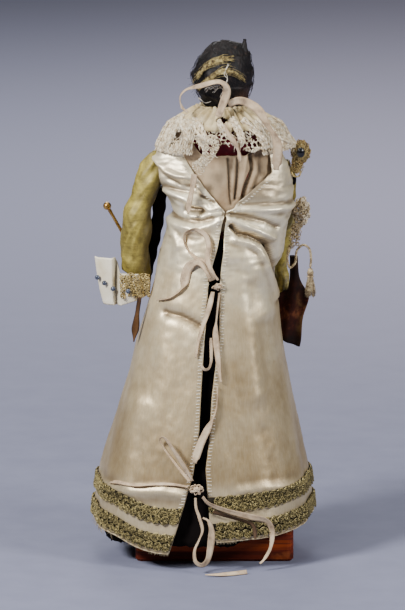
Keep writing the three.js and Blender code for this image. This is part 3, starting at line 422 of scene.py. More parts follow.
def ahead_at(path, i):
    """The way that the path runs at its point i."""
    return (path[min(i + 1, len(path) - 1)] - path[max(i - 1, 0)]).normalized()


def loop_path(centre, side, up, steps, turns=1):
    """Points round an oval whose half axes are side and up, with this many steps a turn."""
    angles = [2 * math.pi * k / steps for k in range(steps * turns + 1)]
    return [centre + side * math.cos(angle) + up * math.sin(angle) for angle in angles]


def signed_power(value, power):
    return math.copysign(abs(value) ** power, value)


def lerp(a, b, t):
    return a + (b - a) * t


def clamp(value, low=0.0, high=1.0):
    return max(low, min(high, value))


def crowded_angle(share, centre, amount):
    """The angle of a column at this share of the round, where columns crowd near the centre angle."""
    turn = 2 * math.pi * share
    return turn - amount * math.sin(turn - centre)


def ripple(point, scale, seed=0.0):
    """Smooth noise from -1 to 1 at about one wave per scale."""
    return noise.noise(Vector(point) / scale + Vector((seed, seed * 1.7, seed * 0.3)))


def segment_distance(x, z, ax, az, bx, bz):
    """The distance of a place to the line from a to b, and the share along it of the nearest point."""
    dx, dz = bx - ax, bz - az
    t = clamp(((x - ax) * dx + (z - az) * dz) / (dx * dx + dz * dz))
    return math.hypot(x - ax - t * dx, z - az - t * dz), t


def fold_height(folds, x, z):
    """How far the folds lift the cloth at x and z."""
    total = 0.0
    for points, width, height in folds:
        reach = FOLD_REACH * width
        nearest = reach
        for (ax, az), (bx, bz) in zip(points, points[1:]):
            near_x = min(ax, bx) - reach <= x <= max(ax, bx) + reach
            if near_x and min(az, bz) - reach <= z <= max(az, bz) + reach:
                nearest = min(nearest, segment_distance(x, z, ax, az, bx, bz)[0])
        if nearest < reach:
            sharpness = RIDGE_SHARPNESS if height > 0 else HOLLOW_SHARPNESS
            total += height * math.exp(-((nearest / width) ** sharpness))
    return total * FOLD_DEPTH


def hollows_of(heights, reach, depth):
    """How far each point of a grid of heights lies below the mean round it, from 0 to 1: the strength of the
    painted shade in its creases.
    """
    def smear(lines):
        result = []
        for line in lines:
            near = [line[max(i - reach, 0):i + reach + 1] for i in range(len(line))]
            result.append([sum(part) / len(part) for part in near])
        return result

    turned = smear([list(column) for column in zip(*smear(heights))])
    means = [list(row) for row in zip(*turned)]
    return [[clamp((mean - height) / depth) for mean, height in zip(mean_row, height_row)]
            for mean_row, height_row in zip(means, heights)]


def make_grid(rows, columns, place):
    """Rows of what place gives for each row and column."""
    return [[place(r, c) for c in range(columns)] for r in range(rows)]


def split_pairs(grid):
    """Two grids from one grid of pairs."""
    return [[a for a, _ in row] for row in grid], [[b for _, b in row] for row in grid]


def section(sides, angle, grow=0.0, squareness=2.0):
    """x and y on an oval section given by its left, right, back and front reach."""
    left, right, back, front = sides
    reach = back if math.cos(angle) > 0 else front
    power = 2 / squareness
    x = (left + right) / 2 - ((left - right) / 2 + grow) * signed_power(math.sin(angle), power)
    return x, (reach + grow) * signed_power(math.cos(angle), power)


def ring_point(rows, angle, z, grow=0.0, squareness=2.0):
    """A point of a form given by rows of such sections. The angle is 0 at the back and grows to the right."""
    x, y = section(read_rows(rows, z), angle, grow, squareness)
    return Vector((x, y, z))


# Meshes

def add_mesh(name, vertices, faces, material, node):
    """A smooth mesh that stands in the place of one of the solids."""
    mesh = bpy.data.meshes.new(name)
    mesh.from_pydata([tuple(v) for v in vertices], [], faces)
    mesh.polygons.foreach_set("use_smooth", [True] * len(mesh.polygons))
    mesh.materials.append(material)
    piece = bpy.data.objects.new(name, mesh)
    bpy.context.collection.objects.link(piece)
    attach(piece, "root")
    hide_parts(node)
    return piece


def add_attribute(piece, name, values):
    """A value for each vertex, which a material reads by its name."""
    piece.data.attributes.new(name, "FLOAT", "POINT").data.foreach_set("value", values)


class Build:
    """Collects vertices and faces of one piece, and the painted shade at its vertices."""

    def __init__(self):
        self.vertices = []
        self.faces = []
        self.shade_values = []

    def close_rings(self, start, count, sides, flipped=False):
        """Joins rings of vertices that follow each other, and closes the first and the last."""
        faces = []
        for i in range(count - 1):
            for k in range(sides):
                a = start + i * sides + k
                b = start + i * sides + (k + 1) % sides
                faces.append((a, b, b + sides, a + sides))
        last = start + (count - 1) * sides
        faces.append(tuple(start + k for k in reversed(range(sides))))
        faces.append(tuple(last + k for k in range(sides)))
        self.faces += [face[:1] + face[:0:-1] for face in faces] if flipped else faces

    def tube(self, path, radius, sides=6):
        """A closed round tube. radius is a number or a function of the share along it."""
        start = len(self.vertices)
        side = ahead_at(path, 0).orthogonal().normalized()
        for i, point in enumerate(path):
            ahead = ahead_at(path, i)
            side = (side - ahead * side.dot(ahead)).normalized()
            other = ahead.cross(side)
            r = radius(i / (len(path) - 1)) if callable(radius) else radius
            for k in range(sides):
                turn = 2 * math.pi * k / sides
                self.vertices.append(point + side * (r * math.cos(turn)) + other * (r * math.sin(turn)))
        self.close_rings(start, len(path), sides)

    def ribbon(self, path, width, thickness, face, twist, curl):
        """A flat closed strip. face is the way its flat side looks, turned by twist along it."""
        start = len(self.vertices)
        self.shade_values += [0.0] * (start - len(self.shade_values))
        steps = [2 * k / (RIBBON_COLUMNS - 1) - 1 for k in range(RIBBON_COLUMNS)]
        for i, point in enumerate(path):
            ahead = ahead_at(path, i)
            across = ahead.cross(face)
            if across.length < 0.2:
                across = ahead.cross(face + Vector((0.3, 0.1, 0.5)))
            share = i / (len(path) - 1)
            across = Quaternion(ahead, twist(share)) @ across.normalized()
            up = across.cross(ahead)
            w = width(share) if callable(width) else width
            middles = [point + across * (u * w / 2) + up * (curl * w * (u * u - 0.5)) for u in steps]
            self.vertices += [middle + up * (thickness / 2) for middle in middles]
            self.vertices += [middle - up * (thickness / 2) for middle in reversed(middles)]
            # Painted shade along both edges of the ribbon
            self.shade_values += [float(abs(u) == 1) for u in steps] * 2
        self.close_rings(start, len(path), 2 * RIBBON_COLUMNS, flipped=True)

    def sheet(self, grid, thickness, wrapped=False, keep=None, shade_values=None):
        """A closed thin sheet over a grid of points. keep says which cells exist, and shade_values gives the
        painted shade at each point.
        """
        rows, columns = len(grid), len(grid[0])
        cells = columns if wrapped else columns - 1
        self.shade_values += [0.0] * (len(self.vertices) - len(self.shade_values))

        def normal(r, c):
            left = grid[r][(c - 1) % columns if wrapped else max(c - 1, 0)]
            right = grid[r][(c + 1) % columns if wrapped else min(c + 1, columns - 1)]
            down, up = grid[max(r - 1, 0)][c], grid[min(r + 1, rows - 1)][c]
            return (right - left).cross(up - down).normalized()

        normals = make_grid(rows, columns, normal)
        kept = make_grid(rows - 1, cells, lambda r, c: keep is None or keep(r, c))
        made = {}

        def corner(r, c, layer):
            c %= columns
            if (r, c, layer) not in made:
                made[r, c, layer] = len(self.vertices)
                self.vertices.append(grid[r][c] - normals[r][c] * (thickness * layer))
                if shade_values:
                    self.shade_values.append(shade_values[r][c])
            return made[r, c, layer]

        def is_kept(r, c):
            if wrapped:
                c %= cells
            return 0 <= r < rows - 1 and 0 <= c < cells and kept[r][c]

        for r in range(rows - 1):
            for c in range(cells):
                if not kept[r][c]:
                    continue
                places = ((r, c), (r, c + 1), (r + 1, c + 1), (r + 1, c))
                outer = [corner(*place, 0) for place in places]
                inner = [corner(*place, 1) for place in places]
                self.faces.append(tuple(outer))
                self.faces.append(tuple(reversed(inner)))
                neighbours = [(r - 1, c, 0, 1), (r, c + 1, 1, 2), (r + 1, c, 2, 3), (r, c - 1, 3, 0)]
                for nr, nc, i, j in neighbours:
                    if not is_kept(nr, nc):
                        self.faces.append((outer[j], outer[i], inner[i], inner[j]))

    def ball(self, centre, size, columns=16, rows=10, turn=None):
        """A closed ellipsoid. size holds its three half axes."""
        start = len(self.vertices)
        turn = turn or Matrix.Identity(3)
        self.vertices.append(centre + turn @ Vector((0, 0, -size[2])))
        for r in range(1, rows):
            tilt = math.pi * r / rows - math.pi / 2
            for c in range(columns):
                angle = 2 * math.pi * c / columns
                offset = Vector((size[0] * math.cos(tilt) * math.cos(angle),
                                 size[1] * math.cos(tilt) * math.sin(angle), size[2] * math.sin(tilt)))
                self.vertices.append(centre + turn @ offset)
        self.vertices.append(centre + turn @ Vector((0, 0, size[2])))
        top = len(self.vertices) - 1
        for c in range(columns):
            d = (c + 1) % columns
            self.faces.append((start, start + 1 + d, start + 1 + c))
            for r in range(rows - 2):
                a = start + 1 + r * columns
                self.faces.append((a + c, a + d, a + d + columns, a + c + columns))
            last = start + 1 + (rows - 2) * columns
            self.faces.append((last + c, last + d, top))

    def piece(self, name, material, slot, node):
        """The collected mesh as a piece in the place of one of the solids."""
        made = add_mesh(name, self.vertices, self.faces, material, node)
        # The painted shade as a value at each vertex, which the materials read
        if self.shade_values:
            add_attribute(made, "painted_shade", self.shade_values + [0.0] * (len(self.vertices) - len(self.shade_values)))
        return made


def grid_size(grid, wrapped=False):
    """The mean width and length of a grid of points: the cloth's flat size."""
    widths = [path_length(row + row[:1] if wrapped else row) for row in grid]
    lengths = [path_length([row[c] for row in grid]) for c in range(0, len(grid[0]), 8)]
    return sum(widths) / len(widths), sum(lengths) / len(lengths)


def sheet_piece(name, grid, thickness, material, slot, node, wrapped=False, keep=None,
                extra=(), shade_values=None):
    """A piece of cloth over a grid. The grid's mean width and length are worked out but not used."""
    build = Build()
    build.sheet(grid, thickness, wrapped, keep, shade_values)
    piece = build.piece(name, material, slot, node)
    grid_size(grid, wrapped)


# Materials

class Nodes:
    """A material's node tree with short calls for the nodes that this scene needs."""

    def __init__(self, name):
        self.material = bpy.data.materials.new(name)
        self.material.use_nodes = True
        self.tree = self.material.node_tree
        self.shader = self.tree.nodes["Principled BSDF"]
        self.place = self.add("ShaderNodeTexCoord").outputs["Object"]

    def add(self, kind, **inputs):
        """A node with these inputs, where an underscore stands for a space."""
        node = self.tree.nodes.new(kind)
        for key, value in inputs.items():
            self.set(node.inputs[key.replace("_", " ")], value)
        return node

    def set(self, socket, value):
        if isinstance(value, bpy.types.NodeSocket):
            self.tree.links.new(value, socket)
        else:
            socket.default_value = value

    def attribute(self, name):
        node = self.add("ShaderNodeAttribute")
        node.attribute_name = name
        return node.outputs["Fac"]

    def axis(self, name):
        """The place along X, Y or Z, in metres."""
        return self.add("ShaderNodeSeparateXYZ", Vector=self.place).outputs[name]

    def noise(self, scale, detail=4.0, roughness=0.55, stretch=None, distortion=0.0):
        place = self.place
        if stretch:
            place = self.add("ShaderNodeMapping", Vector=place, Scale=stretch).outputs[0]
        return self.add("ShaderNodeTexNoise", Vector=place, Scale=scale, Detail=detail, Roughness=roughness,
                        Distortion=distortion).outputs["Fac"]

    def wave(self, period, direction, distortion=0.0):
        """Bands with this period in metres."""
        node = self.add("ShaderNodeTexWave", Vector=self.place, Scale=BANDS_PER_SCALE / period,
                        Distortion=distortion, Detail=2.0, Detail_Scale=2.0)
        node.bands_direction = direction
        return node.outputs["Fac"]

    def ramp(self, factor, stops):
        node = self.add("ShaderNodeValToRGB", Fac=factor)
        ramp = node.color_ramp
        while len(ramp.elements) < len(stops):
            ramp.elements.new(0.5)
        for element, (position, colour) in zip(ramp.elements, stops):
            element.position = position
            element.color = (*colour, 1)
        return node.outputs["Color"]

    def grey(self, factor, *stops):
        """A ramp of plain values, for a socket such as roughness."""
        return self.ramp(factor, [(position, (value,) * 3) for position, value in stops])

    def mix(self, factor, a, b):
        node = self.tree.nodes.new("ShaderNodeMix")
        node.data_type = "RGBA"
        self.set(node.inputs[0], factor)
        self.set(node.inputs[6], a)
        self.set(node.inputs[7], b)
        return node.outputs[2]

    def math(self, operation, a, b):
        node = self.tree.nodes.new("ShaderNodeMath")
        node.operation = operation
        self.set(node.inputs[0], a)
        self.set(node.inputs[1], b)
        return node.outputs[0]

    def over(self, colour, mask, strength, tone):
        """The colour with a tone over it where the mask shows."""
        return self.mix(self.math("MULTIPLY", mask, strength), colour, (*tone, 1))

    def steps(self, factor, low, high):
        """0 below low and 1 above high, smooth between."""
        node = self.add("ShaderNodeMapRange", Value=factor, From_Min=low, From_Max=high)
        node.interpolation_type = "SMOOTHSTEP"
        return node.outputs["Result"]

    def heights(self, *layers):
        """A normal from layers of a height, its distance in metres and its strength."""
        normal = None
        for height, distance, strength in layers:
            node = self.add("ShaderNodeBump", Height=height, Strength=strength, Distance=distance)
            if normal is not None:
                self.set(node.inputs["Normal"], normal)
            normal = node.outputs["Normal"]
        return normal

    def finish(self, colour, roughness, normal, **sockets):
        inputs = {"Base_Color": colour, "Roughness": roughness, "Normal": normal, **sockets}
        for key, value in inputs.items():
            self.set(self.shader.inputs[key.replace("_", " ")], value)
        return self.material


def rgb(*values):
    """A colour given in screen values from 0 to 255, as the linear values that a shader takes."""
    linear = []
    for v in values:
        share = v / 255
        linear.append(share / 12.92 if share <= 0.04045 else ((share + 0.055) / 1.055) ** 2.4)
    return tuple(linear)


def scaled(colour, factor):
    return tuple(value * factor for value in colour)


def woven(name, light, dark, period=0.0005, roughness=0.8, bump=0.0001, patch=0.02, specular=0.3):
    """Plain woven cloth with soft patches of a darker tone and painted shade in its hollows."""
    n = Nodes(name)
    patches = n.noise(1 / patch, detail=6)
    weave = n.math("MULTIPLY", n.wave(period, "X"), n.wave(period, "Z"))
    colour = n.ramp(patches, [(0.32, dark), (0.62, light)])
    colour = n.mix(0.18, colour, n.ramp(weave, [(0.0, dark), (1.0, light)]))
    # Painted shade in the hollows that a piece marks
    colour = n.over(colour, n.attribute("painted_shade"), 0.85, scaled(dark, 0.30))
    normal = n.heights((weave, bump, 0.5), (n.noise(1800, detail=2), bump, 0.3))
    return n.finish(colour, n.grey(patches, (0.3, roughness + 0.08), (0.7, roughness - 0.05)), normal,
                    Specular_IOR_Level=specular)


def satin_material():
    """Lustrous ivory satin, paler above and browner towards the hem, with painted light between the braids
    and painted shade in its folds.
    """
    n = Nodes("ivory_satin")
    height = n.axis("Z")
    blotch = n.noise(22, detail=7, roughness=0.6)
    unevenness = n.math("MULTIPLY", n.math("SUBTRACT", blotch, 0.5), 1.7)
    # Paler above and browner towards the hem, with random unevenness
    toward_hem = n.math("ADD", n.steps(height, GOWN_TOP, 0.02), unevenness)
    colour = n.ramp(toward_hem, [(0.0, rgb(248, 236, 204)), (0.46, rgb(206, 186, 146)), (0.95, rgb(162, 139, 98))])
    spots = n.steps(n.noise(75, detail=5, roughness=0.7), 0.60, 0.78)
    colour = n.over(colour, spots, 0.45, rgb(146, 114, 66))
    streaks = n.steps(n.noise(60, detail=6, stretch=(1.0, 1.0, 0.12)), 0.52, 0.74)
    colour = n.over(colour, streaks, 0.25, rgb(150, 124, 80))
    # Painted light: the satin between and below the braids is lighter, where it bulges up towards the lamps
    painted_light_between_braids = n.steps(height, 0.075, 0.062)
    colour = n.over(colour, painted_light_between_braids, 0.35, rgb(234, 222, 190))
    threads = n.noise(900, detail=2, stretch=(1.0, 1.0, 0.08))
    colour = n.mix(0.12, colour, n.ramp(threads, [(0.3, rgb(168, 144, 104)), (0.7, rgb(246, 232, 204))]))
    # Painted shade in the folds and on the shaded places of the satin
    colour = n.over(colour, n.attribute("painted_shade"), 0.80, rgb(112, 88, 56))
    creases = n.noise(110, detail=6, stretch=(1.0, 1.0, 0.5))
    dents = n.noise(34, detail=4, stretch=(1.0, 1.0, 0.45))
    crumples = n.noise(40, detail=2, stretch=(0.55, 0.55, 1.25), distortion=0.5)
    crumples_above = n.math("MULTIPLY", crumples, n.steps(height, 0.235, 0.275))
    normal = n.heights((threads, 0.00005, 0.3), (creases, 0.0008, 0.40), (dents, 0.0025, 0.30),
                       (crumples_above, 0.0090, 0.40))
    return n.finish(colour, n.grey(blotch, (0.3, 0.33), (0.7, 0.48)), normal, Metallic=0.50,
                    Specular_IOR_Level=0.5)


def silk_material(name, light, dark):
    """Slubbed silk with painted shade in its folds and on its inner side."""
    n = Nodes(name)
    patches = n.noise(1 / 0.012, detail=7, roughness=0.65, distortion=0.6)
    half_tone = tuple((a + b) / 2 for a, b in zip(light, dark))
    slub = n.noise(700, detail=3, stretch=(0.15, 0.15, 1.0))
    colour = n.ramp(patches, [(0.30, dark), (0.52, half_tone), (0.68, light)])
    colour = n.mix(0.22, colour, n.ramp(slub, [(0.3, dark), (0.7, light)]))
    # Painted shade in the wrinkles and on the side towards the body
    colour = n.over(colour, n.attribute("painted_shade"), 0.9, scaled(dark, 0.5))
    normal = n.heights((slub, 0.00012, 0.5), (n.noise(160, detail=5), 0.0008, 0.5))
    return n.finish(colour, 0.56, normal, Metallic=0.12)


def ribbon_material():
    """Narrow pinkish ivory silk with fine cross ribs, random brown patches and painted shade along its edges.
    """
    n = Nodes("ribbon_silk")
    patches = n.noise(110, detail=6)
    ribs = n.wave(0.0005, "Z", 0.4)
    tones = [(0.30, rgb(98, 70, 46)), (0.50, rgb(188, 160, 126)), (0.78, rgb(224, 204, 172))]
    colour = n.ramp(patches, tones)
    # Painted shade along the edges of the ribbons and knots
    colour = n.over(colour, n.attribute("painted_shade"), 0.6, rgb(142, 108, 74))
    colour = n.mix(0.2, colour, n.ramp(ribs, [(0.0, rgb(164, 138, 104)), (1.0, rgb(238, 226, 200))]))
    normal = n.heights((ribs, 0.0001, 0.6), (n.noise(300, detail=3), 0.0003, 0.4))
    return n.finish(colour, 0.55, normal, Sheen_Weight=0.2, Sheen_Roughness=0.35)


def thread_material(name, light, dark, roughness=0.8, period=0.0006, metallic=0.0, speckle=420):
    """Spun thread: a fine twist in colour and height, with painted shade in the hollows that a piece marks.
    """
    n = Nodes(name)
    twist = n.wave(period, "DIAGONAL", 1.5)
    colour = n.ramp(n.noise(speckle, detail=4), [(0.40, dark), (0.62, light)])
    colour = n.mix(0.25, colour, n.ramp(twist, [(0.2, dark), (0.8, light)]))
    # Painted shade in marked hollows
    colour = n.over(colour, n.attribute("painted_shade"), 0.75, scaled(dark, 0.35))
    return n.finish(colour, roughness, n.heights((twist, 0.00012, 0.6)), Metallic=metallic)


def velvet_material():
    """Dark red-brown velvet, rubbed to tan along its outer edge, with painted shade in its folds where a
    piece marks them.
    """
    n = Nodes("velvet")
    pile = n.noise(70, detail=7, roughness=0.7)
    edge = n.steps(n.axis("X"), -0.064, -0.071)
    rubbed = n.math("MULTIPLY", edge, n.steps(n.noise(120, detail=5), 0.40, 0.62))
    dark = n.math("MAXIMUM", n.steps(n.axis("Z"), 0.206, 0.222), n.steps(n.axis("Z"), 0.180, 0.170))
    colour = n.ramp(pile, [(0.36, rgb(20, 6, 3)), (0.52, rgb(48, 16, 8)), (0.66, rgb(104, 58, 34))])
    # Painted shade in marked folds
    colour = n.over(colour, n.attribute("painted_shade"), 0.85, rgb(12, 4, 2))
    colour = n.over(colour, rubbed, 0.7, rgb(104, 76, 42))
    colour = n.over(colour, dark, 0.8, rgb(14, 6, 4))
    normal = n.heights((n.noise(2600, detail=2), 0.00025, 0.7))
    return n.finish(colour, 0.92, normal, Sheen_Weight=0.12, Sheen_Roughness=0.3, Specular_IOR_Level=0.2)


def wood_material():
    """Red-brown varnished wood with straight grain along X and dark saw lines."""
    n = Nodes("block_wood")
    grain = n.noise(70, detail=8, roughness=0.65, stretch=(0.06, 1.0, 1.6), distortion=0.4)
    bands = n.noise(420, detail=3, stretch=(0.02, 0.3, 1.0))
    pores = n.noise(900, detail=2, stretch=(0.05, 1.0, 1.0))
    wear = n.steps(n.noise(45, detail=5), 0.58, 0.72)
    colour = n.ramp(grain, [(0.30, rgb(26, 6, 2)), (0.50, rgb(100, 32, 8)), (0.70, rgb(184, 82, 26))])
    colour = n.over(colour, n.steps(bands, 0.55, 0.68), 0.7, rgb(30, 10, 6))
    colour = n.over(colour, wear, 0.45, rgb(176, 92, 44))
    normal = n.heights((bands, 0.0006, 0.6), (pores, 0.0001, 0.5))
    return n.finish(colour, n.grey(grain, (0.3, 0.70), (0.7, 0.5)), normal, Specular_IOR_Level=0.2)


def wax_material():
    """Tinted wax: soft light under the skin, a little redder on lips and cheeks, with painted brows."""
    n = Nodes("tinted_wax")
    colour = n.ramp(n.noise(60, detail=5), [(0.3, rgb(206, 158, 126)), (0.7, rgb(228, 190, 160))])
    colour = n.mix(n.attribute("tint"), colour, (*rgb(168, 74, 62), 1))
    colour = n.over(colour, n.attribute("brow"), 0.7, rgb(92, 62, 44))
    normal = n.heights((n.noise(500, detail=3), 0.00008, 0.4))
    return n.finish(colour, 0.38, normal, Subsurface_Weight=0.25, Subsurface_Scale=0.004)


def hair_material():
    """Near-black wrapped hair, rusty brown low on its right side."""
    n = Nodes("dark_hair")
    strands = n.noise(340, detail=5, stretch=(1.0, 1.0, 0.35), distortion=0.8)
    dark = n.ramp(strands, [(0.38, rgb(5, 4, 5)), (0.62, rgb(26, 19, 18)), (0.80, rgb(72, 54, 42))])
    rust = n.ramp(strands, [(0.35, rgb(18, 8, 5)), (0.70, rgb(74, 40, 28))])
    low = n.steps(n.axis("Z"), 0.388, 0.372)
    right = n.steps(n.axis("X"), -0.010, -0.024)
    colour = n.mix(n.math("MULTIPLY", low, right), dark, rust)
    return n.finish(colour, 0.60, n.heights((strands, 0.0007, 0.8)), Specular_IOR_Level=0.3)


def metal_material(name, light, dark, roughness):
    """Polished metal with a darker, duller patina in patches."""
    n = Nodes(name)
    patina = n.noise(240, detail=6)
    colour = n.ramp(patina, [(0.35, dark), (0.6, light)])
    normal = n.heights((n.noise(900, detail=2), 0.00006, 0.3))
    return n.finish(colour, n.grey(patina, (0.3, roughness + 0.25), (0.65, roughness)), normal, Metallic=1.0)


def bead_material(name, light, dark, roughness=0.2):
    """Smooth glass, stone or enamel with a faint swirl."""
    n = Nodes(name)
    swirl = n.noise(500, detail=4)
    colour = n.ramp(swirl, [(0.35, dark), (0.65, light)])
    return n.finish(colour, roughness, n.heights((swirl, 0.00005, 0.3)), Coat_Weight=0.4)


SATIN = satin_material()
RIBBON = ribbon_material()
LACE = thread_material("cream_lace", rgb(240, 230, 206), rgb(186, 162, 124), 0.85, 0.0005)
# Near-black cloth of the inner robe; its colour also paints the deep shade inside the gown and in the gap by
# the left sleeve
DARK_CLOTH = woven("dark_cloth", rgb(16, 10, 9), rgb(6, 4, 4), 0.0007, 0.95, specular=0.1)
RED_CLOTH = woven("red_cloth", rgb(120, 18, 36), rgb(30, 6, 10), 0.0006, 0.85)
BLOUSE_CLOTH = woven("blouse_cloth", rgb(186, 164, 132), rgb(138, 114, 86), 0.0005, 0.85)
COLLAR_CLOTH = woven("collar_cloth", rgb(214, 198, 160), rgb(176, 154, 108), 0.0005, 0.85, patch=0.008)
OLIVE_SILK = silk_material("olive_silk", rgb(188, 170, 80), rgb(70, 56, 12))
CREAM_CLOTH = woven("cream_cloth", rgb(236, 228, 208), rgb(208, 194, 160), 0.0006, 0.8)
BRAID_THREAD = thread_material("braid_thread", rgb(196, 178, 118), rgb(14, 10, 3), 0.40, 0.0008, 0.50, 560)
BRAID_GROUND = woven("braid_ground", rgb(40, 32, 16), rgb(16, 12, 5), 0.0006, 0.9)
GOLD_THREAD = thread_material("gold_thread", rgb(224, 198, 130), rgb(46, 30, 12), 0.5, 0.0006, 0.4, 640)
STRAW = thread_material("straw", rgb(200, 180, 118), rgb(66, 46, 22), 0.8, 0.002)
LINING_THREAD = thread_material("lining_thread", rgb(206, 190, 156), rgb(152, 130, 94), 0.8)
WHITE_THREAD = thread_material("white_thread", rgb(240, 234, 220), rgb(206, 196, 176), 0.8)
DARK_RIBBON = woven("dark_ribbon", rgb(112, 84, 58), rgb(54, 38, 26), 0.0005, 0.7)
BROWN_CLOTH = woven("brown_cloth", rgb(106, 70, 34), rgb(40, 24, 12), 0.0005, 0.85)
CORD_THREAD = thread_material("cord_thread", rgb(208, 188, 148), rgb(104, 82, 54), 0.75, 0.001)
VELVET = velvet_material()
WOOD = wood_material()
WAX = wax_material()
HAIR = hair_material()
BRASS = metal_material("polished_brass", rgb(226, 184, 108), rgb(150, 108, 52), 0.22)
BEAD = bead_material("blue_grey_bead", rgb(92, 100, 118), rgb(30, 34, 44))
BROCADE = woven("brocade", rgb(150, 108, 44), rgb(44, 26, 10), 0.0008, 0.6, 0.0003, 0.004)
BLACK_STONE = bead_material("black_stone", rgb(20, 20, 24), rgb(4, 4, 6), 0.12)
EYE_WHITE = bead_material("eye_white", rgb(236, 228, 216), rgb(214, 200, 186))
EYE_DARK = bead_material("eye_dark", rgb(48, 30, 20), rgb(16, 10, 8), 0.1)


# Gown surface

def skirt_fold(angle, z):
    """The soft round folds of the skirt, which fade out upwards."""
    depth = HEM_FOLD_DEPTH * max(0.0, 1 - z / SKIRT_FOLD_START)
    return depth * (0.6 * math.cos(7 * angle + 0.6) + 0.4 * math.cos(11 * angle))


def gown_point(angle, z, offset=0.0):
    """A point of the gown's plain outline. The angle starts at the back and runs round by the right side."""
    return ring_point(GOWN_ROWS, angle, z, offset + skirt_fold(angle, z), GOWN_SQUARENESS)


def angle_at_back(x, z):
    left, right, _, _ = read_rows(GOWN_ROWS, z)
    share = ((left + right) / 2 - x) / ((left - right) / 2)
    return math.asin(clamp(signed_power(share, GOWN_SQUARENESS / 2), -1, 1))


def gown_back(x, z, lift=0.0):
    """The point on the back of the gown at x and z, lifted off it."""
    point = gown_point(angle_at_back(x, z), z)
    return Vector((x, point.y + lift, z))


def hem_height(angle):
    """The height of the hem: low at its two corners beside the slit and high at the right side."""
    if angle > math.pi:
        return HEM_LEVEL - LEFT_CORNER_DROP * max(0.0, math.cos((angle - 2 * math.pi + 0.3) / 2)) ** 30
    corner = RIGHT_CORNER_DROP * max(0.0, math.cos(angle / 2)) ** 8
    return HEM_LEVEL - corner + RIGHT_SIDE_LIFT * math.sin(angle) ** 2


def slit_angles(z):
    """The angles of the slit's right and left edges, the left one a full turn on."""
    start = angle_at_back(read_line(SLIT_RIGHT_ROWS, z), z)
    end = angle_at_back(read_line(SLIT_LEFT_ROWS, z), z) + 2 * math.pi
    return start, end


def slit_place(share, height_at):
    """The angle and height at this share of the way round from one edge of the slit to the other."""
    angle = 2 * math.pi * share
    for _ in range(3):
        z = height_at(angle)
        start, end = slit_angles(z)
        angle = lerp(start, end, share)
    return angle, z


def gown_shift(point, angle):
    """How far the satin stands off its plain outline: drawn folds behind, soft ones in front."""
    x, y, z = point
    shift = 0.0
    if y > FOLDS_FROM:
        shift += fold_height(GOWN_FOLDS, x, z) * clamp((y - FOLDS_FROM) / 0.01)
    front = clamp(-math.cos(angle))
    shift += front * FLUTE_DEPTH * math.cos(9 * angle) * clamp((0.27 - z) / 0.25)
    skirt = clamp((0.25 - z) / 0.05)
    bodice = clamp((z - 0.215) / 0.03)
    pulled = ripple((x * 0.45, y * 0.45, z * 1.3), 0.0065, 7.0)
    shift += 0.0007 * ripple((x, y, z * 0.5), 0.018)
    shift += skirt * 0.0010 * ripple((x, y, z * 0.3), 0.030, 4.0)
    shift += 0.00025 * ripple(point, 0.0055, 3.0)
    shift += bodice * 0.0011 * (0.45 - abs(pulled))
    return shift


def satin_point(angle, z, lift=0.0):
    """A point of the finished satin, lifted off it, and how far its folds stand off the plain outline."""
    point = gown_point(angle, z)
    outward = Vector((point.x - GOWN_MIDDLE, point.y * 1.3, 0)).normalized()
    shift = gown_shift(point, angle)
    return point + outward * (shift + lift), shift


def back_surface(x, z):
    """The finished satin at the back at x and z."""
    return satin_point(angle_at_back(x, z), z)[0]


def skirt_place(share, above_hem, lift):
    """A point above the gown's hem, lifted off the satin. share runs from slit edge to slit edge."""
    angle, z = slit_place(share, lambda angle: hem_height(angle) + above_hem)
    return satin_point(angle, z, lift)[0]


def shade_at(x, z):
    """How strong the painted shade on the satin is at x and z."""
    darkest = 0.0
    for centre_x, centre_z, half_width, half_height, strength in GOWN_SHADES:
        away = ((x - centre_x) / half_width) ** 2 + ((z - centre_z) / half_height) ** 2
        darkest = max(darkest, strength * math.exp(-away * away))
    return darkest


def in_opening(x, z):
    """True inside a worn opening, which narrows from its first end to its second."""
    for ax, az, bx, bz, half_width in GOWN_OPENINGS:
        distance, t = segment_distance(x, z, ax, az, bx, bz)
        if distance < half_width * (1.2 - t):
            return True
    return False


def make_gown(trimmings):
    """The satin as one sheet from slit edge to slit edge, with folds, painted shade in its folds and shaded
    places, and worn openings.
    """
    def place(r, c):
        share = c / GOWN_COLUMNS
        share -= GOWN_CROWDING * math.sin(2 * math.pi * share) / (2 * math.pi)
        t = r / GOWN_LEVELS
        level = 1.45 * t - 0.45 * t * t
        return satin_point(*slit_place(share, lambda angle: lerp(hem_height(angle), GOWN_TOP, level)))

    grid, heights = split_pairs(make_grid(GOWN_LEVELS + 1, GOWN_COLUMNS + 1, place))
    # Painted shade: in the folds, and on the shaded places of GOWN_SHADES
    shade_values = hollows_of(heights, 4, 0.0011)
    for shade_row, row in zip(shade_values, grid):
        for c, point in enumerate(row):
            if point.y > 0:
                shade_row[c] = max(shade_row[c], shade_at(point.x, point.z))

    def keep(r, c):
        point = grid[r][c]
        return point.y < 0 or point.z < OPENINGS_FROM or not in_opening(point.x, point.z)

    build = Build()
    build.sheet(grid, GOWN_THICKNESS, keep=keep, shade_values=shade_values)
    gown = build.piece("gown_satin", SATIN, "satin", "gown")
    grid_size(grid)


# Ribbons

def along(*stops):
    """A function of the share along a ribbon that runs smoothly through (share, value) stops."""
    def value(share):
        for (start, first), (end, second) in zip(stops, stops[1:]):
            if share <= end:
                t = clamp((share - start) / (end - start))
                return lerp(first, second, t * t * (3 - 2 * t))
        return stops[-1][1]
    return value


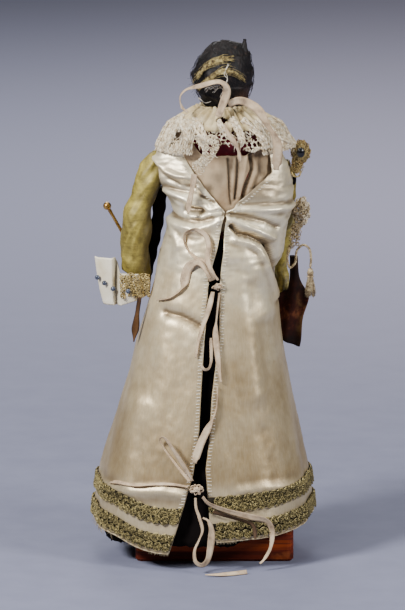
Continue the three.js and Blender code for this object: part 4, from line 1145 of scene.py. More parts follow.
def add_ribbon(name, points, width, twist, curl=0.07, material=None):
    """One flat ribbon with a slanted end. Width and twist are functions of the share along it."""
    path = smooth_path(points, 0.0008)
    shares = [i / (len(path) - 1) for i in range(len(path))]
    build = Build()
    build.ribbon(path, lambda share: width(share) * clamp((1 - share) * 14, 0.6), RIBBON_THICKNESS,
                 RIBBON_FACE, twist, curl)
    piece = build.piece(name + "_silk", material or RIBBON, "ribbon", name)
    mean_width = sum(width(share) for share in shares) / len(shares)
    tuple(path[0])
    path_length(path)


def on_gown(stations):
    """Points on the back of the gown from x, z and, where it is given, an extra lift."""
    return [gown_back(x, z, RIBBON_LIFT + sum(extra)) for x, z, *extra in stations]


def add_neck_ribbons():
    add_ribbon("ribbon_nape", [
        (-0.0030, 0.0295, 0.3620), (-0.0066, 0.0280, 0.3719), (-0.0096, 0.0284, 0.3810),
        (-0.0084, 0.0294, 0.3872), (-0.0036, 0.0300, 0.3904), (0.0034, 0.0298, 0.3894),
        (0.0104, 0.0284, 0.3870), (0.0176, 0.0260, 0.3850), (0.0230, 0.0236, 0.3824),
        (0.0268, 0.0220, 0.3780), (0.0274, 0.0216, 0.3730), (0.0256, 0.0234, 0.3680),
        (0.0214, 0.0264, 0.3650),
    ], along((0, 0.0055), (0.22, 0.0068), (0.45, 0.0046), (0.8, 0.0038), (1, 0.0034)),
        along((0, -0.2), (0.24, 0.1), (0.36, 0.9), (0.55, 0.5), (0.72, 1.2), (0.86, 1.35), (1, 0.4)))
    add_ribbon("ribbon_strap", [
        (-0.0106, 0.0255, 0.3715), (-0.0200, 0.0260, 0.3744), (-0.0290, 0.0260, 0.3712),
        (-0.0360, 0.0280, 0.3658), (-0.0420, 0.0296, 0.3556), (-0.0482, 0.0310, 0.3460),
        (-0.0506, 0.0308, 0.3380), (-0.0502, 0.0286, 0.3280), (-0.0490, 0.0260, 0.3180),
    ], along((0, 0.0060), (0.35, 0.0072), (0.6, 0.0052), (0.75, 0.0076), (1, 0.0080)),
        along((0, 0.3), (0.3, 0.0), (0.55, 0.8), (0.75, 0.1), (1, -0.1)))
    add_ribbon("ribbon_shoulder", [
        (0.0160, 0.0340, 0.3160), (0.0170, 0.0330, 0.3080), (0.0185, 0.0330, 0.3000),
        (0.0205, 0.0340, 0.2910), (0.0210, 0.0355, 0.2840),
    ], along((0, 0.0052), (0.5, 0.0046), (1, 0.0040)), along((0, 0.2), (0.4, 0.7), (0.8, 0.1), (1, 1.0)))
    add_ribbon("ribbon_collar", [
        (-0.0084, 0.0322, 0.3570), (-0.0110, 0.0342, 0.3490), (-0.0160, 0.0356, 0.3420),
        (-0.0195, 0.0360, 0.3350), (-0.0204, 0.0340, 0.3260),
    ], along((0, 0.0030), (0.5, 0.0050), (1, 0.0040)), along((0, 1.2), (0.35, 0.5), (0.7, 1.1), (1, 0.4)))


def add_waist_ribbons():
    add_ribbon("ribbon_waist_loop", on_gown([
        (0.0016, 0.2314), (0.0077, 0.2445), (0.0143, 0.2483), (0.0200, 0.2530), (0.0240, 0.2595, 0.0005),
        (0.0235, 0.2670, 0.0012), (0.0157, 0.2710, 0.0020), (0.0075, 0.2675, 0.0030),
        (0.0047, 0.2594, 0.0034), (0.0057, 0.2500, 0.0038), (0.0030, 0.2410, 0.0040),
        (-0.0030, 0.2325, 0.0040),
    ]), along((0, 0.0056), (0.2, 0.0048), (0.45, 0.0036), (0.7, 0.0042), (1, 0.0036)),
        along((0, 0.5), (0.18, 0.75), (0.34, 1.25), (0.48, 1.1), (0.62, 0.35), (0.8, 0.1), (1, 0.7)))
    add_ribbon("ribbon_waist_left", on_gown([
        (0.0034, 0.2335, 0.0029), (0.0080, 0.2420, 0.0029), (0.0121, 0.2458, 0.0028),
        (0.0163, 0.2450, 0.0014),
        (0.0206, 0.2408, 0.0002), (0.0231, 0.2344), (0.0246, 0.2280), (0.0270, 0.2234), (0.0310, 0.2196),
        (0.0370, 0.2156, 0.0006), (0.0460, 0.2124, 0.0030),
    ]), along((0, 0.0040), (0.25, 0.0050), (0.38, 0.0078), (0.52, 0.0076), (0.64, 0.0040), (1, 0.0030)),
        along((0, 0.7), (0.25, 0.3), (0.4, 0.0), (0.52, 0.1), (0.64, 1.3), (1, 1.35)))
    add_ribbon("ribbon_waist_low", on_gown([
        (0.0012, 0.2226), (0.0046, 0.2092), (0.0086, 0.1978), (0.0126, 0.1849), (0.0150, 0.1710),
    ]), along((0, 0.0044), (0.4, 0.0040), (0.7, 0.0030), (1, 0.0026)),
        along((0, 0.9), (0.2, 0.2), (0.55, 0.5), (0.8, 0.9), (1, 0.3)))
    add_ribbon("ribbon_waist_long", on_gown([
        (-0.0040, 0.2218), (-0.0018, 0.2025), (-0.0009, 0.1880), (-0.0034, 0.1651), (-0.0052, 0.1515),
    ]), along((0, 0.0032), (0.3, 0.0034), (0.55, 0.0052), (0.75, 0.0044), (1, 0.0034)),
        along((0, 1.1), (0.3, 1.25), (0.5, 0.2), (0.7, 0.3), (0.9, 0.9), (1, 0.6)))
    add_ribbon("ribbon_curl", on_gown([
        (0.0114, 0.1656), (0.0080, 0.1618), (0.0046, 0.1628), (0.0028, 0.1680), (0.0026, 0.1755),
        (0.0030, 0.1866),
    ]), along((0, 0.0026), (1, 0.0026)), along((0, 0.3), (0.3, 0.9), (0.7, 0.2), (1, 0.6)))
    add_ribbon("ribbon_slit", on_gown([
        (-0.0023, 0.1485), (-0.0023, 0.1400), (-0.0012, 0.1300), (0.0020, 0.1215), (0.0064, 0.1130),
        (0.0110, 0.1035), (0.0144, 0.0940), (0.0162, 0.0880),
    ]), along((0, 0.0030), (0.4, 0.0036), (0.6, 0.0058), (0.85, 0.0064), (1, 0.0060)),
        along((0, 1.3), (0.38, 1.25), (0.58, 0.2), (1, 0.0)))


def add_hem_ribbons():
    add_ribbon("ribbon_hem_loop", on_gown([
        (0.0198, 0.0734), (0.0286, 0.0836, 0.0002), (0.0358, 0.0924, 0.0002), (0.0412, 0.0996, 0.0006),
        (0.0434, 0.1046, 0.0026), (0.0424, 0.1080, 0.0060), (0.0386, 0.1074, 0.0090),
        (0.0340, 0.1014, 0.0094),
        (0.0262, 0.0896, 0.0070), (0.0174, 0.0746, 0.0034),
    ]), along((0, 0.0040), (0.5, 0.0030), (1, 0.0044)),
        along((0, 0.9), (0.25, 1.1), (0.48, 1.2), (0.6, 0.8), (0.8, 0.6), (1, 0.9)))
    add_ribbon("ribbon_hem_right", on_gown([
        (0.0095, 0.0616, 0.0008), (0.0038, 0.0560, 0.0020), (-0.0100, 0.0499, 0.0020),
        (-0.0278, 0.0444, 0.0020), (-0.0410, 0.0406, 0.0020), (-0.0460, 0.0325, 0.0020),
        (-0.0452, 0.0194, 0.0022), (-0.0404, 0.0104, 0.0022), (-0.0364, 0.0064, 0.0022),
    ]), along((0, 0.0036), (0.35, 0.0050), (0.55, 0.0056), (0.75, 0.0042), (1, 0.0028)),
        along((0, 0.9), (0.2, 0.5), (0.42, 0.2), (0.58, 0.6), (0.7, 0.2), (0.85, 0.9), (1, 0.4)))
    add_ribbon("ribbon_hem_hanging", on_gown([
        (0.0152, 0.0608, 0.0010), (0.0147, 0.0532, 0.0010), (0.0122, 0.0456, 0.0010),
        (0.0096, 0.0356, 0.0010), (0.0122, 0.0276, 0.0010), (0.0158, 0.0191, 0.0014),
        (0.0152, 0.0108, 0.0024), (0.0102, 0.0078, 0.0032), (0.0056, 0.0120, 0.0040),
        (0.0033, 0.0224, 0.0044), (0.0024, 0.0350, 0.0044), (0.0048, 0.0430, 0.0044),
        (0.0094, 0.0458, 0.0046),
    ]), along((0, 0.0028), (0.4, 0.0032), (0.6, 0.0046), (0.8, 0.0058), (1, 0.0040)),
        along((0, 0.9), (0.2, 0.5), (0.32, 1.2), (0.5, 0.8), (0.62, 0.5), (0.8, 0.1), (0.9, 0.8), (1, 1.1)))
    add_ribbon("ribbon_hem_left", on_gown([
        (0.0212, 0.0692, 0.0004), (0.0329, 0.0704), (0.0468, 0.0698), (0.0606, 0.0678, 0.0018),
        (0.0700, 0.0676, 0.0022), (0.0785, 0.0676, 0.0028), (0.0840, 0.0656, 0.0030),
    ]), along((0, 0.0026), (0.6, 0.0030), (1, 0.0032)),
        along((0, 1.0), (0.3, 0.6), (0.5, 1.2), (0.8, 0.5), (1, 0.9)))
    add_ribbon("ribbon_hem_dark", on_gown([
        (0.0010, 0.0500, 0.0018), (-0.0100, 0.0460, 0.0018), (-0.0240, 0.0412, 0.0018),
        (-0.0304, 0.0380, 0.0018), (-0.0324, 0.0320, 0.0018), (-0.0324, 0.0265, 0.0018),
    ]), along((0, 0.0034), (1, 0.0036)), along((0, 0.5), (0.5, 0.9), (1, 0.2)), material=DARK_RIBBON)
    add_ribbon("ribbon_floor", [
        (-0.0260, 0.0850, 0.0019), (-0.0160, 0.0900, 0.0019), (-0.0050, 0.0940, 0.0019),
        (0.0075, 0.0950, 0.0019),
    ], along((0, 0.0036), (0.5, 0.0034), (1, 0.0014)),
        along((0, 0.3), (0.5, 0.6), (1, 0.9)), curl=0.0)


def add_knot(name, x, z, size, wraps, bows, seed):
    """A tied knot of one size: wound ribbon round a small core, with short bows that stand out from it."""
    rng = random.Random(seed)
    centre = gown_back(x, z, size.y + 0.0008)
    build = Build()
    build.ball(centre, size * 0.62, 24, 16)
    for i in range(wraps):
        tilt = rng.uniform(-0.5, 0.5) + math.pi * i / wraps
        shift = Vector((rng.uniform(-0.3, 0.3) * size.x, 0, rng.uniform(-0.25, 0.25) * size.z))
        forward = Vector((0, 0.85 * size.y, 0))
        across = Vector((math.cos(tilt) * size.x, 0, math.sin(tilt) * size.z)) * 0.78
        build.ribbon(loop_path(centre + shift, forward, across, 36), 0.0019, 0.0005,
                     Vector((math.sin(tilt), 0.1, -math.cos(tilt))), lambda share: math.pi / 2, 0.1)
    for i in range(bows):
        turn = 2 * math.pi * (i + rng.uniform(-0.25, 0.25)) / bows
        away = Vector((math.cos(turn) * size.x, 0, math.sin(turn) * size.z))
        side = Vector((-away.z, 0, away.x)) * rng.uniform(0.22, 0.34)
        forward = Vector((0, rng.uniform(0.1, 0.9) * size.y, 0))
        points = [centre, centre + away * 0.7 + side + forward * 0.6, centre + away * 1.08 + forward,
                  centre + away * 0.7 - side + forward * 0.3, centre]
        build.ribbon(smooth_path(points, 0.0004), 0.0013, 0.0004, RIBBON_FACE, lambda share: 1.1, 0.1)
    build.piece(name + "_silk", RIBBON, "ribbon", name)


# Inner clothes

def add_under_skirt():
    """A ring of dark cloth with a ragged hem and fine pleats."""
    columns, levels = 190, 44

    def place(r, c):
        angle = 2 * math.pi * c / columns
        ragged = 0.003 * ripple((math.cos(angle), math.sin(angle), 0), 0.06) + 0.0015 * random.random()
        left_drop = 0.002 * max(0.0, math.cos(angle - 5.25)) ** 10
        right_lift = 0.009 * clamp(math.sin(angle - 0.25) * 2.5)
        z = lerp(UNDER_SKIRT_HEM + ragged - left_drop + right_lift, UNDER_SKIRT_TOP, r / levels)
        point = gown_point(angle, z, -UNDER_SKIRT_INSET)
        pleat = 0.0012 * math.cos(31 * angle + 2 * ripple(point, 0.05))
        return point + Vector((point.x, point.y, 0)).normalized() * (pleat + 0.0006 * ripple(point, 0.012))

    sheet_piece("under_skirt_cloth", make_grid(levels + 1, columns, place), 0.001, DARK_CLOTH, "dark_cloth",
                "under_skirt", wrapped=True)


def add_bodice():
    """A closed form with a slightly uneven surface."""
    columns, levels = 110, 60
    build = Build()
    for r in range(levels + 1):
        z = lerp(BODICE_ROWS[0][0], BODICE_ROWS[-1][0], r / levels)
        for c in range(columns):
            point = ring_point(BODICE_ROWS, 2 * math.pi * c / columns, z)
            outward = Vector((point.x + 0.006, point.y * 1.4, 0)).normalized()
            uneven = 0.0009 * ripple(point, 0.009) + 0.0004 * ripple(point, 0.003)
            build.vertices.append(point + outward * uneven)
    build.close_rings(0, levels + 1, columns)
    piece = build.piece("bodice_cloth", RED_CLOTH, "red_cloth", "bodice")


def add_under_blouse():
    """Thin cloth round the bodice, cut low at the back, with drawn folds there and fine ones in front."""
    columns, levels = 150, 60

    def place(r, c):
        angle = crowded_angle(c / columns, 0.0, 0.55)
        middle = abs(math.atan2(math.sin(angle - 0.06), math.cos(angle - 0.06)))
        rise = clamp((min(middle, math.pi - middle) - 0.36) / 0.5)
        top = lerp(NECKLINE_BACK, NECKLINE_SIDE, rise * rise * (3 - 2 * rise))
        z = lerp(BLOUSE_ROWS[0][0], top, r / levels)
        point = ring_point(BLOUSE_ROWS, angle, z)
        shift = fold_height(BLOUSE_FOLDS, point.x, z) if point.y > 0 else 0.0012 * math.cos(26 * angle)
        shift += 0.0004 * ripple((point.x, point.y, z * 0.3), 0.006)
        return point + Vector((point.x + 0.006, point.y * 1.6, 0)).normalized() * shift, shift

    grid, heights = split_pairs(make_grid(levels + 1, columns, place))
    # Painted shade in the folds of the blouse
    sheet_piece("under_blouse_cloth", grid, 0.0007, BLOUSE_CLOTH, "blouse_cloth", "under_blouse",
                wrapped=True, shade_values=hollows_of(heights, 3, 0.0009))


# Stitches and frayed edges of the gown

def add_stitch(build, a, b):
    """One stitch from a to b that dips into the cloth at both ends."""
    lift = Vector((0, 0.00016, 0))
    middle = (a + b) / 2 + lift * 2
    build.tube([a - lift * 3, a + lift, middle, b + lift, b - lift * 3], STITCH_RADIUS, 5)


def add_gown_seams():
    """Overcast stitches along both edges of the slit, and a row of small knots where the V is hemmed."""
    rng = random.Random(13)
    build = Build()
    for rows, side in ((SLIT_RIGHT_ROWS, -1), (SLIT_LEFT_ROWS, 1)):
        z = 0.052
        while z < 0.322:
            slope = (read_line(rows, z + 0.001) - read_line(rows, z - 0.001)) / 0.002
            lean = math.hypot(1, slope)
            edge = read_line(rows, z)
            if abs(edge) < 0.042:
                near, far = 0.0028 * lean, 0.0038 * lean
                if z < V_FOOT:
                    near, far = 0.0008, 0.0036 + rng.uniform(-0.0006, 0.0005)
                drop = rng.uniform(-0.0002, 0.0004)
                start = back_surface(edge + side * near, z)
                add_stitch(build, start, back_surface(edge + side * far, z - drop))
            z += STITCH_PITCH / lean * rng.uniform(0.9, 1.1)
    return build.piece("gown_stitches", WHITE_THREAD, "satin", "gown")


def fringe_share(i):
    """Where the fringe's thread i hangs: many near both slit edges and at the far left."""
    if i < 60:
        return random.uniform(0.0, 0.03)
    if i < 110:
        return random.uniform(0.965, 1.0)
    if i < 240:
        return random.gauss(0.80, 0.035)
    return random.random()


def add_fringe():
    """The pale edge of the lining along the hem, with loose threads, longest at the far left."""
    build = Build()
    edge = []
    for i in range(701):
        above = 0.0002 + 0.0003 * ripple((i * 0.02, 0, 0), 0.2)
        edge.append(skirt_place(lerp(0.0008, 0.9992, i / 700), above, 0.0001))
    build.tube(edge, 0.00050, 6)
    for i in range(330):
        share = fringe_share(i)
        longest = 0.0062 if 110 <= i < 240 else 0.0026
        length = random.uniform(0.001, longest)
        start = skirt_place(share, 0.0006, -0.0006)
        side = Vector((random.uniform(-1, 1), random.uniform(-0.2, 1), 0)) * length * 0.4
        down = Vector((0, 0, -length))
        build.tube([start, start + side * 0.4 + down / 2, start + side + down], 0.00012, 4)
    return build.piece("gown_fringe", LINING_THREAD, "satin", "gown")


# Metallic braid on the hem

def add_rosette(build, share, height, length, line, rng):
    """One round cluster of curled metallic thread on the hem: small curls set in a ring."""
    ring = ROSETTE_REACH * 0.52
    curl = ROSETTE_REACH * 0.46
    turn = rng.uniform(0, 2 * math.pi)
    squeeze = rng.uniform(0.85, 1.05)
    path = []
    for k in range(ROSETTE_CURLS * CURL_STEPS + 1):
        around = 2 * math.pi * k / (ROSETTE_CURLS * CURL_STEPS) + turn
        small = 2 * math.pi * k / CURL_STEPS
        across = (ring * math.cos(around) + curl * math.cos(small)) * squeeze
        up = ring * math.sin(around) + curl * math.sin(small)
        lift = BRAID_OFFSET + 0.0006 + 0.0005 * math.sin(small * 2 + line) + rng.uniform(-0.0002, 0.0002)
        path.append(skirt_place(clamp(share + across / length, 0.0006, 0.9994), height + up, lift))
    build.tube(path, BRAID_WIRE, 4)


def add_hem_braid(name, band, seed):
    """A band of dark ground with two staggered lines of rosettes on it."""
    bottom, top = band
    middle = (bottom + top) / 2
    columns = 420
    levels = (bottom + 0.001, bottom + 0.004, middle, top - 0.004, top - 0.001)
    ground = Build()
    rows = [[skirt_place(c / columns, height, 0.0008) for c in range(columns + 1)] for height in levels]
    ground.sheet(rows, 0.0006)
    cloth = ground.piece(name + "_ground", BRAID_GROUND, "braid", name)
    length = path_length([skirt_place(c / 120, middle, 0.0) for c in range(121)])
    count = round(length / ROSETTE_PITCH)
    rng = random.Random(seed)
    build = Build()
    for line, height in enumerate((bottom + ROSETTE_REACH, top - ROSETTE_REACH)):
        for i in range(count):
            share = (i + 0.5 + 0.5 * line) / count
            add_rosette(build, share, height + rng.uniform(-0.0004, 0.0004), length, line, rng)
    return cloth, build.piece(name + "_loops", BRAID_THREAD, "braid", name)


# Lace

def lace_hole(u, v, pitch=0.0023, radius=0.30):
    """True inside a hole of a net with staggered round holes."""
    row_height = pitch * 0.87
    shift = 0.5 * (math.floor(v / row_height) % 2)
    du = (u / pitch + shift) % 1 - 0.5
    dv = (v / row_height) % 1 - 0.5
    return math.hypot(du, dv * 0.87) < radius


def collar_surface(angle, level):
    """A point of the collar and how far its folds lift it. level is 0 at the outer edge, 1 at the neck."""
    edge = 1 - level
    place = edge * 3
    index = min(int(place), 2)
    z, *sides = [lerp(b, c, place - index) for b, c in zip(COLLAR_ROWS[index], COLLAR_ROWS[index + 1])]
    cosine, sine = math.cos(angle), math.sin(angle)
    seen = clamp((cosine + 0.2) / 0.4)
    right_side = clamp((sine + 0.1) / 0.3)
    pleats = (0.0007 + 0.0008 * right_side) * math.cos(34 * angle + 3.0 * math.sin(3 * angle) + 2 * edge)
    gathers = 0.0010 * math.cos(17 * angle + 2.0 * math.sin(2 * angle)) + 0.0008 * math.cos(9 * angle + 1.3)
    crumple = 0.0016 * noise.noise(Vector((cosine * 5, sine * 5, edge * 4)))
    fine = 0.0006 * noise.noise(Vector((cosine * 16, sine * 16, edge * 11)))
    bell = math.sin(math.pi * clamp(edge * 1.1)) ** 0.5
    shift = 0.9 * bell * (gathers + seen * pleats) + (crumple + fine) * (0.3 + edge)
    x, y = section(sides, angle, 0.0006 + shift)
    lift = 0.003 * clamp((edge - 0.8) / 0.2) * max(0.0, sine) ** 3
    droop = 0.22 * min(0.0, y + 0.002)
    return Vector((x, y, z + lift + 0.0006 + droop)), shift


def collar_at(x, z, lift):
    """The point of the collar's back at about x and z, lifted off it."""
    level = clamp((z - COLLAR_ROWS[3][0]) / (COLLAR_ROWS[0][0] - COLLAR_ROWS[3][0]))
    angle = 0.0
    for _ in range(12):
        point, _ = collar_surface(angle, level)
        angle = clamp(angle + (point.x - x) / 0.055, -1.5, 1.5)
        level = clamp(level + (z - point.z) / 0.040)
    return point + Vector((0, lift, 0))


def in_collar_hole(point):
    """True inside one of the torn holes at the back."""
    if point.y < 0.010:
        return False
    for x, z, half_width, half_height in COLLAR_HOLES:
        if ((point.x - x) / half_width) ** 2 + ((point.z - z) / half_height) ** 2 < 1:
            return True
    return False


def is_torn_away(point):
    """True below the ragged line in the middle of the back, where the border is torn off."""
    if point.y <= 0.012:
        return False
    ragged = 0.0030 * ripple((point.x, 0.0, 0.0), 0.0045)
    return -0.0225 < point.x < 0.0205 and point.z < 0.3385 + ragged


def has_thread(u, v, wave, pitch):
    """True where the border has thread: a flower above each scallop, in rows, and a net between them."""
    across = (wave - 0.5) * COLLAR_SCALLOP
    up = (v - 0.0060) % 0.0105 - 0.0045
    from_flower = math.hypot(across, up)
    if from_flower < 0.0038:
        petal_end = 0.0026 + 0.0011 * math.cos(6 * math.atan2(up, across))
        return 0.0008 <= from_flower < petal_end
    return not lace_hole(u, v, pitch, 0.37)


def add_lace_collar():
    """Gathered cloth at the neck with a deep crocheted border, short and torn in the middle of the back."""
    grid, heights = split_pairs(make_grid(COLLAR_LEVELS + 1, COLLAR_COLUMNS, lambda r, c: collar_surface(
        2 * math.pi * c / COLLAR_COLUMNS, r / COLLAR_LEVELS)))
    # Painted shade in the folds of the collar
    shade_values = hollows_of(heights, 3, 0.0008)

    def keep(r, c):
        point = grid[r][c]
        u = c * COLLAR_CELL_WIDTH + 0.0010 * ripple(point, 0.007, 2.0)
        v = r * COLLAR_CELL_LENGTH + 0.0010 * ripple(point, 0.006, 9.0)
        wave = (u / COLLAR_SCALLOP) % 1
        above_edge = v - 0.0030 * (1 - math.sin(math.pi * wave) ** 0.7)
        if above_edge < 0 or is_torn_away(point) or in_collar_hole(point):
            return False
        if v > COLLAR_BORDER:
            return True
        if above_edge < 0.0017:
            return not (0.0006 < above_edge < 0.0013 and c % 3 == 0)
        return has_thread(u, v, wave, 0.0040 + 0.0005 * ripple(point, 0.02, 4.0))

    border = Build()
    border.sheet(grid, 0.0006, True, lambda r, c: r * COLLAR_CELL_LENGTH < COLLAR_BORDER and keep(r, c),
                 shade_values)
    cloth = Build()
    cloth.sheet([row[::2] for row in grid[::2]], 0.0006, True,
                lambda r, c: 2 * r * COLLAR_CELL_LENGTH >= COLLAR_BORDER and keep(2 * r, 2 * c),
                [row[::2] for row in shade_values[::2]])
    extra = [cloth.piece("lace_collar_cloth", COLLAR_CLOTH, "cream_cloth", "lace_collar"),
             add_collar_crochet(), add_collar_strips(), add_neck_gathers()]
    piece = border.piece("lace_collar_net", LACE, "lace", "lace_collar")
    flat = grid_size(grid[:round(COLLAR_BORDER / COLLAR_CELL_LENGTH) + 1], True)


def add_crochet_line(raised, side, first, last, line, rng):
    """One wavering thread along the border, broken where the lace has a hole."""
    level = 0.05 + 0.088 * line
    runs = [[]]
    for i in range(140):
        angle = -side * lerp(first, last, i / 139)
        zigzag = 0.046 * (1 if (i // 3 + line) % 2 else -1) + 0.014 * rng.uniform(-1, 1)
        point, _ = collar_surface(angle, clamp(level + zigzag, 0.0, 0.9))
        outward = Vector((point.x, point.y * 1.2, 0.012)).normalized()
        if in_collar_hole(point):
            runs.append([])
        else:
            runs[-1].append(point + outward * (0.0004 + 0.0005 * rng.random()))
    for path in runs:
        if len(path) > 3:
            raised.tube(path, 0.00038, 5)


def add_picot(raised, angle, rng):
    """One small loop of thread that hangs from the edge of the border."""
    point, _ = collar_surface(angle, 0.0)
    outward = Vector((point.x, point.y, 0)).normalized()
    length = rng.uniform(0.0012, 0.0032)
    across = Vector((-outward.y, outward.x, 0)) * rng.uniform(0.0006, 0.0011)
    start = point + across + Vector((0, 0, 0.0006))
    tip = point + outward * 0.0008 - Vector((0, 0, length))
    raised.tube(smooth_path([start, tip, point - across], 0.0005), 0.00030, 5)


def add_collar_crochet():
    """Raised crocheted threads on both sides of the border, and picots along its edge."""
    rng = random.Random(17)
    raised = Build()
    picots = 58
    for side, first, last in ((1, 0.50, 1.42), (-1, 0.56, 1.50)):
        for line in range(5):
            add_crochet_line(raised, side, first, last, line, rng)
        for i in range(picots):
            add_picot(raised, -side * lerp(first, last, (i + rng.random()) / picots), rng)
    return raised.piece("lace_collar_crochet", LACE, "lace", "lace_collar")


def add_lace_strip(build, path, width, rng):
    """One strip of holed tape along a path, with frayed threads at its end."""
    half = 9
    phase = rng.randint(0, 5)

    def place(r, c):
        across = ahead_at(path, r).cross(Vector((0, 1, 0.1))).normalized()
        u = (c - half) / half
        wave = 0.0007 * math.sin(4 * u + r * 0.25) + 0.0004 * ripple((u, r * 0.1, width), 0.4)
        return path[r] + across * (u * width / 2) + Vector((0, wave, 0))

    def keep(r, c):
        in_hole = (r + phase) % 6 < 3 and 3 < (c + r // 6 * 3) % 7 < 6
        in_notch = c in (0, 2 * half - 1) and r % 4 == 0
        return not in_hole and not in_notch

    build.sheet(make_grid(len(path), 2 * half + 1, place), 0.0005, keep=keep)
    for _ in range(5):
        start = path[-1] + Vector((rng.uniform(-0.5, 0.5) * width, 0, 0))
        away = Vector((rng.uniform(-1, 1) * 0.0014, rng.uniform(0, 0.0006), -rng.uniform(0.002, 0.005)))
        build.tube([start, start + away * 0.5 + Vector((0.0003, 0, 0)), start + away], 0.00020, 4)


def add_collar_strips():
    """Strips of lace and tape that hang from the neck over the collar."""
    rng = random.Random(29)
    build = Build()
    for points, width in COLLAR_STRIPS:
        path = smooth_path([collar_at(x, z, 0.0022) for x, z in points], 0.0007)
        add_lace_strip(build, path, width, rng)
    return build.piece("lace_collar_strips", LACE, "lace", "lace_collar")


def add_neck_gathers():
    """The gathered roll of cream cloth at the top of the collar."""
    build = Build()
    turns = 260
    for line in range(3):
        path = []
        for i in range(turns + 1):
            angle = 2 * math.pi * i / turns
            level = 0.95 - 0.09 * line + 0.02 * math.sin(5 * angle + 2 * line)
            point, _ = collar_surface(angle, level)
            path.append(point + Vector((0, 0, 0.0014 + 0.0007 * math.cos(23 * angle + line))))
        build.tube(path, lambda share: 0.0015 + 0.0005 * math.cos(60 * math.pi * share + 2 * line), 10)
    return build.piece("collar_gathers", COLLAR_CLOTH, "cream_cloth", "lace_collar")


def add_fall_threads(path):
    """Loose threads round the torn strip, most of them low on it."""
    rng = random.Random(31)
    threads = Build()
    for _ in range(46):
        share = rng.random() ** 0.6
        to_side = rng.uniform(-0.008, 0.008) * (1.2 - share)
        start = path[round(share * (len(path) - 1))] + Vector((to_side, 0.0004, 0))
        away = Vector((rng.uniform(-1, 1) * 0.0036, rng.uniform(-0.0002, 0.0010),
                       rng.uniform(-0.0050, 0.0010)))
        bow = Vector((rng.uniform(-1, 1), 0.3, rng.uniform(-1, 1))) * 0.0010
        threads.tube(smooth_path([start, start + away * 0.5 + bow, start + away], 0.0006), 0.00024, 4)
    return threads.piece("lace_fall_threads", LACE, "lace", "lace_fall")


def add_lace_fall():
    """The torn strip of lace that drops from the collar, wide and crumpled above and frayed below."""
    path = smooth_path(LACE_FALL_PATH, 0.0007)
    last = len(path) - 1
    count = 30

    def place(r, c):
        share = (last - r) / last
        half = lerp(0.0088, 0.0050, share) * (1 + 0.18 * math.sin(11 * share))
        u = 1 - 2 * c / count
        wave = 0.0012 * math.sin(3.6 * u + 10 * share) + 0.0006 * ripple((u, share, 0), 0.2)
        return path[last - r] + Vector((half * u, wave, half * u * 0.25 * math.sin(8 * share)))

    grid = make_grid(last + 1, count + 1, place)

    def keep(r, c):
        point = grid[r][c]
        if min(c, count - 1 - c) < 2 + 2 * ripple((0, point.z, c), 0.004):
            return r % 3 != 0
        if r < 6 + 5 * ripple((point.x, 0, 0), 0.002) or ripple(point, 0.0034, 6.0) > 0.42:
            return False
        return not lace_hole(r * 0.0007, c * 0.0006, 0.0019)

    sheet_piece("lace_fall_strip", grid, 0.0005, LACE, "lace", "lace_fall",
                keep=keep, extra=[add_fall_threads(path)])


# Head

def nose_shift(x, z):
    """How far the nose stands out: a ridge that widens downwards, and its round under side."""
    if z <= NOSE_TIP:
        return 0.0046 * math.exp(-((x / 0.0025) ** 2)) * clamp(1 - (NOSE_TIP - z) / 0.0016)
    ridge = clamp((0.0045 - z) / 0.0125)
    width = 0.0015 + 0.0010 * ridge
    return (0.0006 + 0.0040 * ridge) * math.exp(-((x / width) ** 2)) * clamp((0.006 - z) / 0.003)


def face_shift(x, z):
    """How far the face stands forward of the plain skull at x and z from its centre."""
    shift = nose_shift(x, z)
    for depth, across, up, half_width, half_height, power in FACE_FORMS:
        away = ((abs(x) - across) / half_width) ** power + ((z - up) / half_height) ** 2
        shift += depth * math.exp(-away)
    return shift


def head_point(tilt, angle):
    """x, y and z of the head from its centre, and how far to the front it lies, from 0 to 1."""
    x = HEAD_SIZE.x * math.cos(tilt) * math.cos(angle)
    y = HEAD_SIZE.y * math.cos(tilt) * math.sin(angle)
    z = HEAD_SIZE.z * math.sin(tilt)
    down = max(0.0, -z / HEAD_SIZE.z)
    forward = max(0.0, -y / HEAD_SIZE.y)
    x *= 1 - 0.28 * down
    y = y * (1 - 0.1 * down) - 0.0015 * down * forward
    if forward > 0:
        y -= face_shift(x, z) * clamp(forward * 2.4)
    return x, y, z, forward


def face_colours(x, z):
    """How strongly lips and cheeks are tinted at x and z, and how strongly a brow is drawn."""
    side = abs(x)
    lips = math.exp(-((x / 0.0050) ** 4)) * math.exp(-(((z + 0.0156) / 0.0024) ** 4))
    cheeks = 0.28 * math.exp(-(((side - 0.0095) / 0.0040) ** 2) - ((z + 0.0080) / 0.0040) ** 2)
    arch = 0.0068 - abs(side - 0.0070) * 4 / 15
    brow = math.exp(-(((z - arch) / 0.00055) ** 2)) * math.exp(-(((side - 0.0074) / 0.0040) ** 4))
    return 0.75 * lips + cheeks, brow


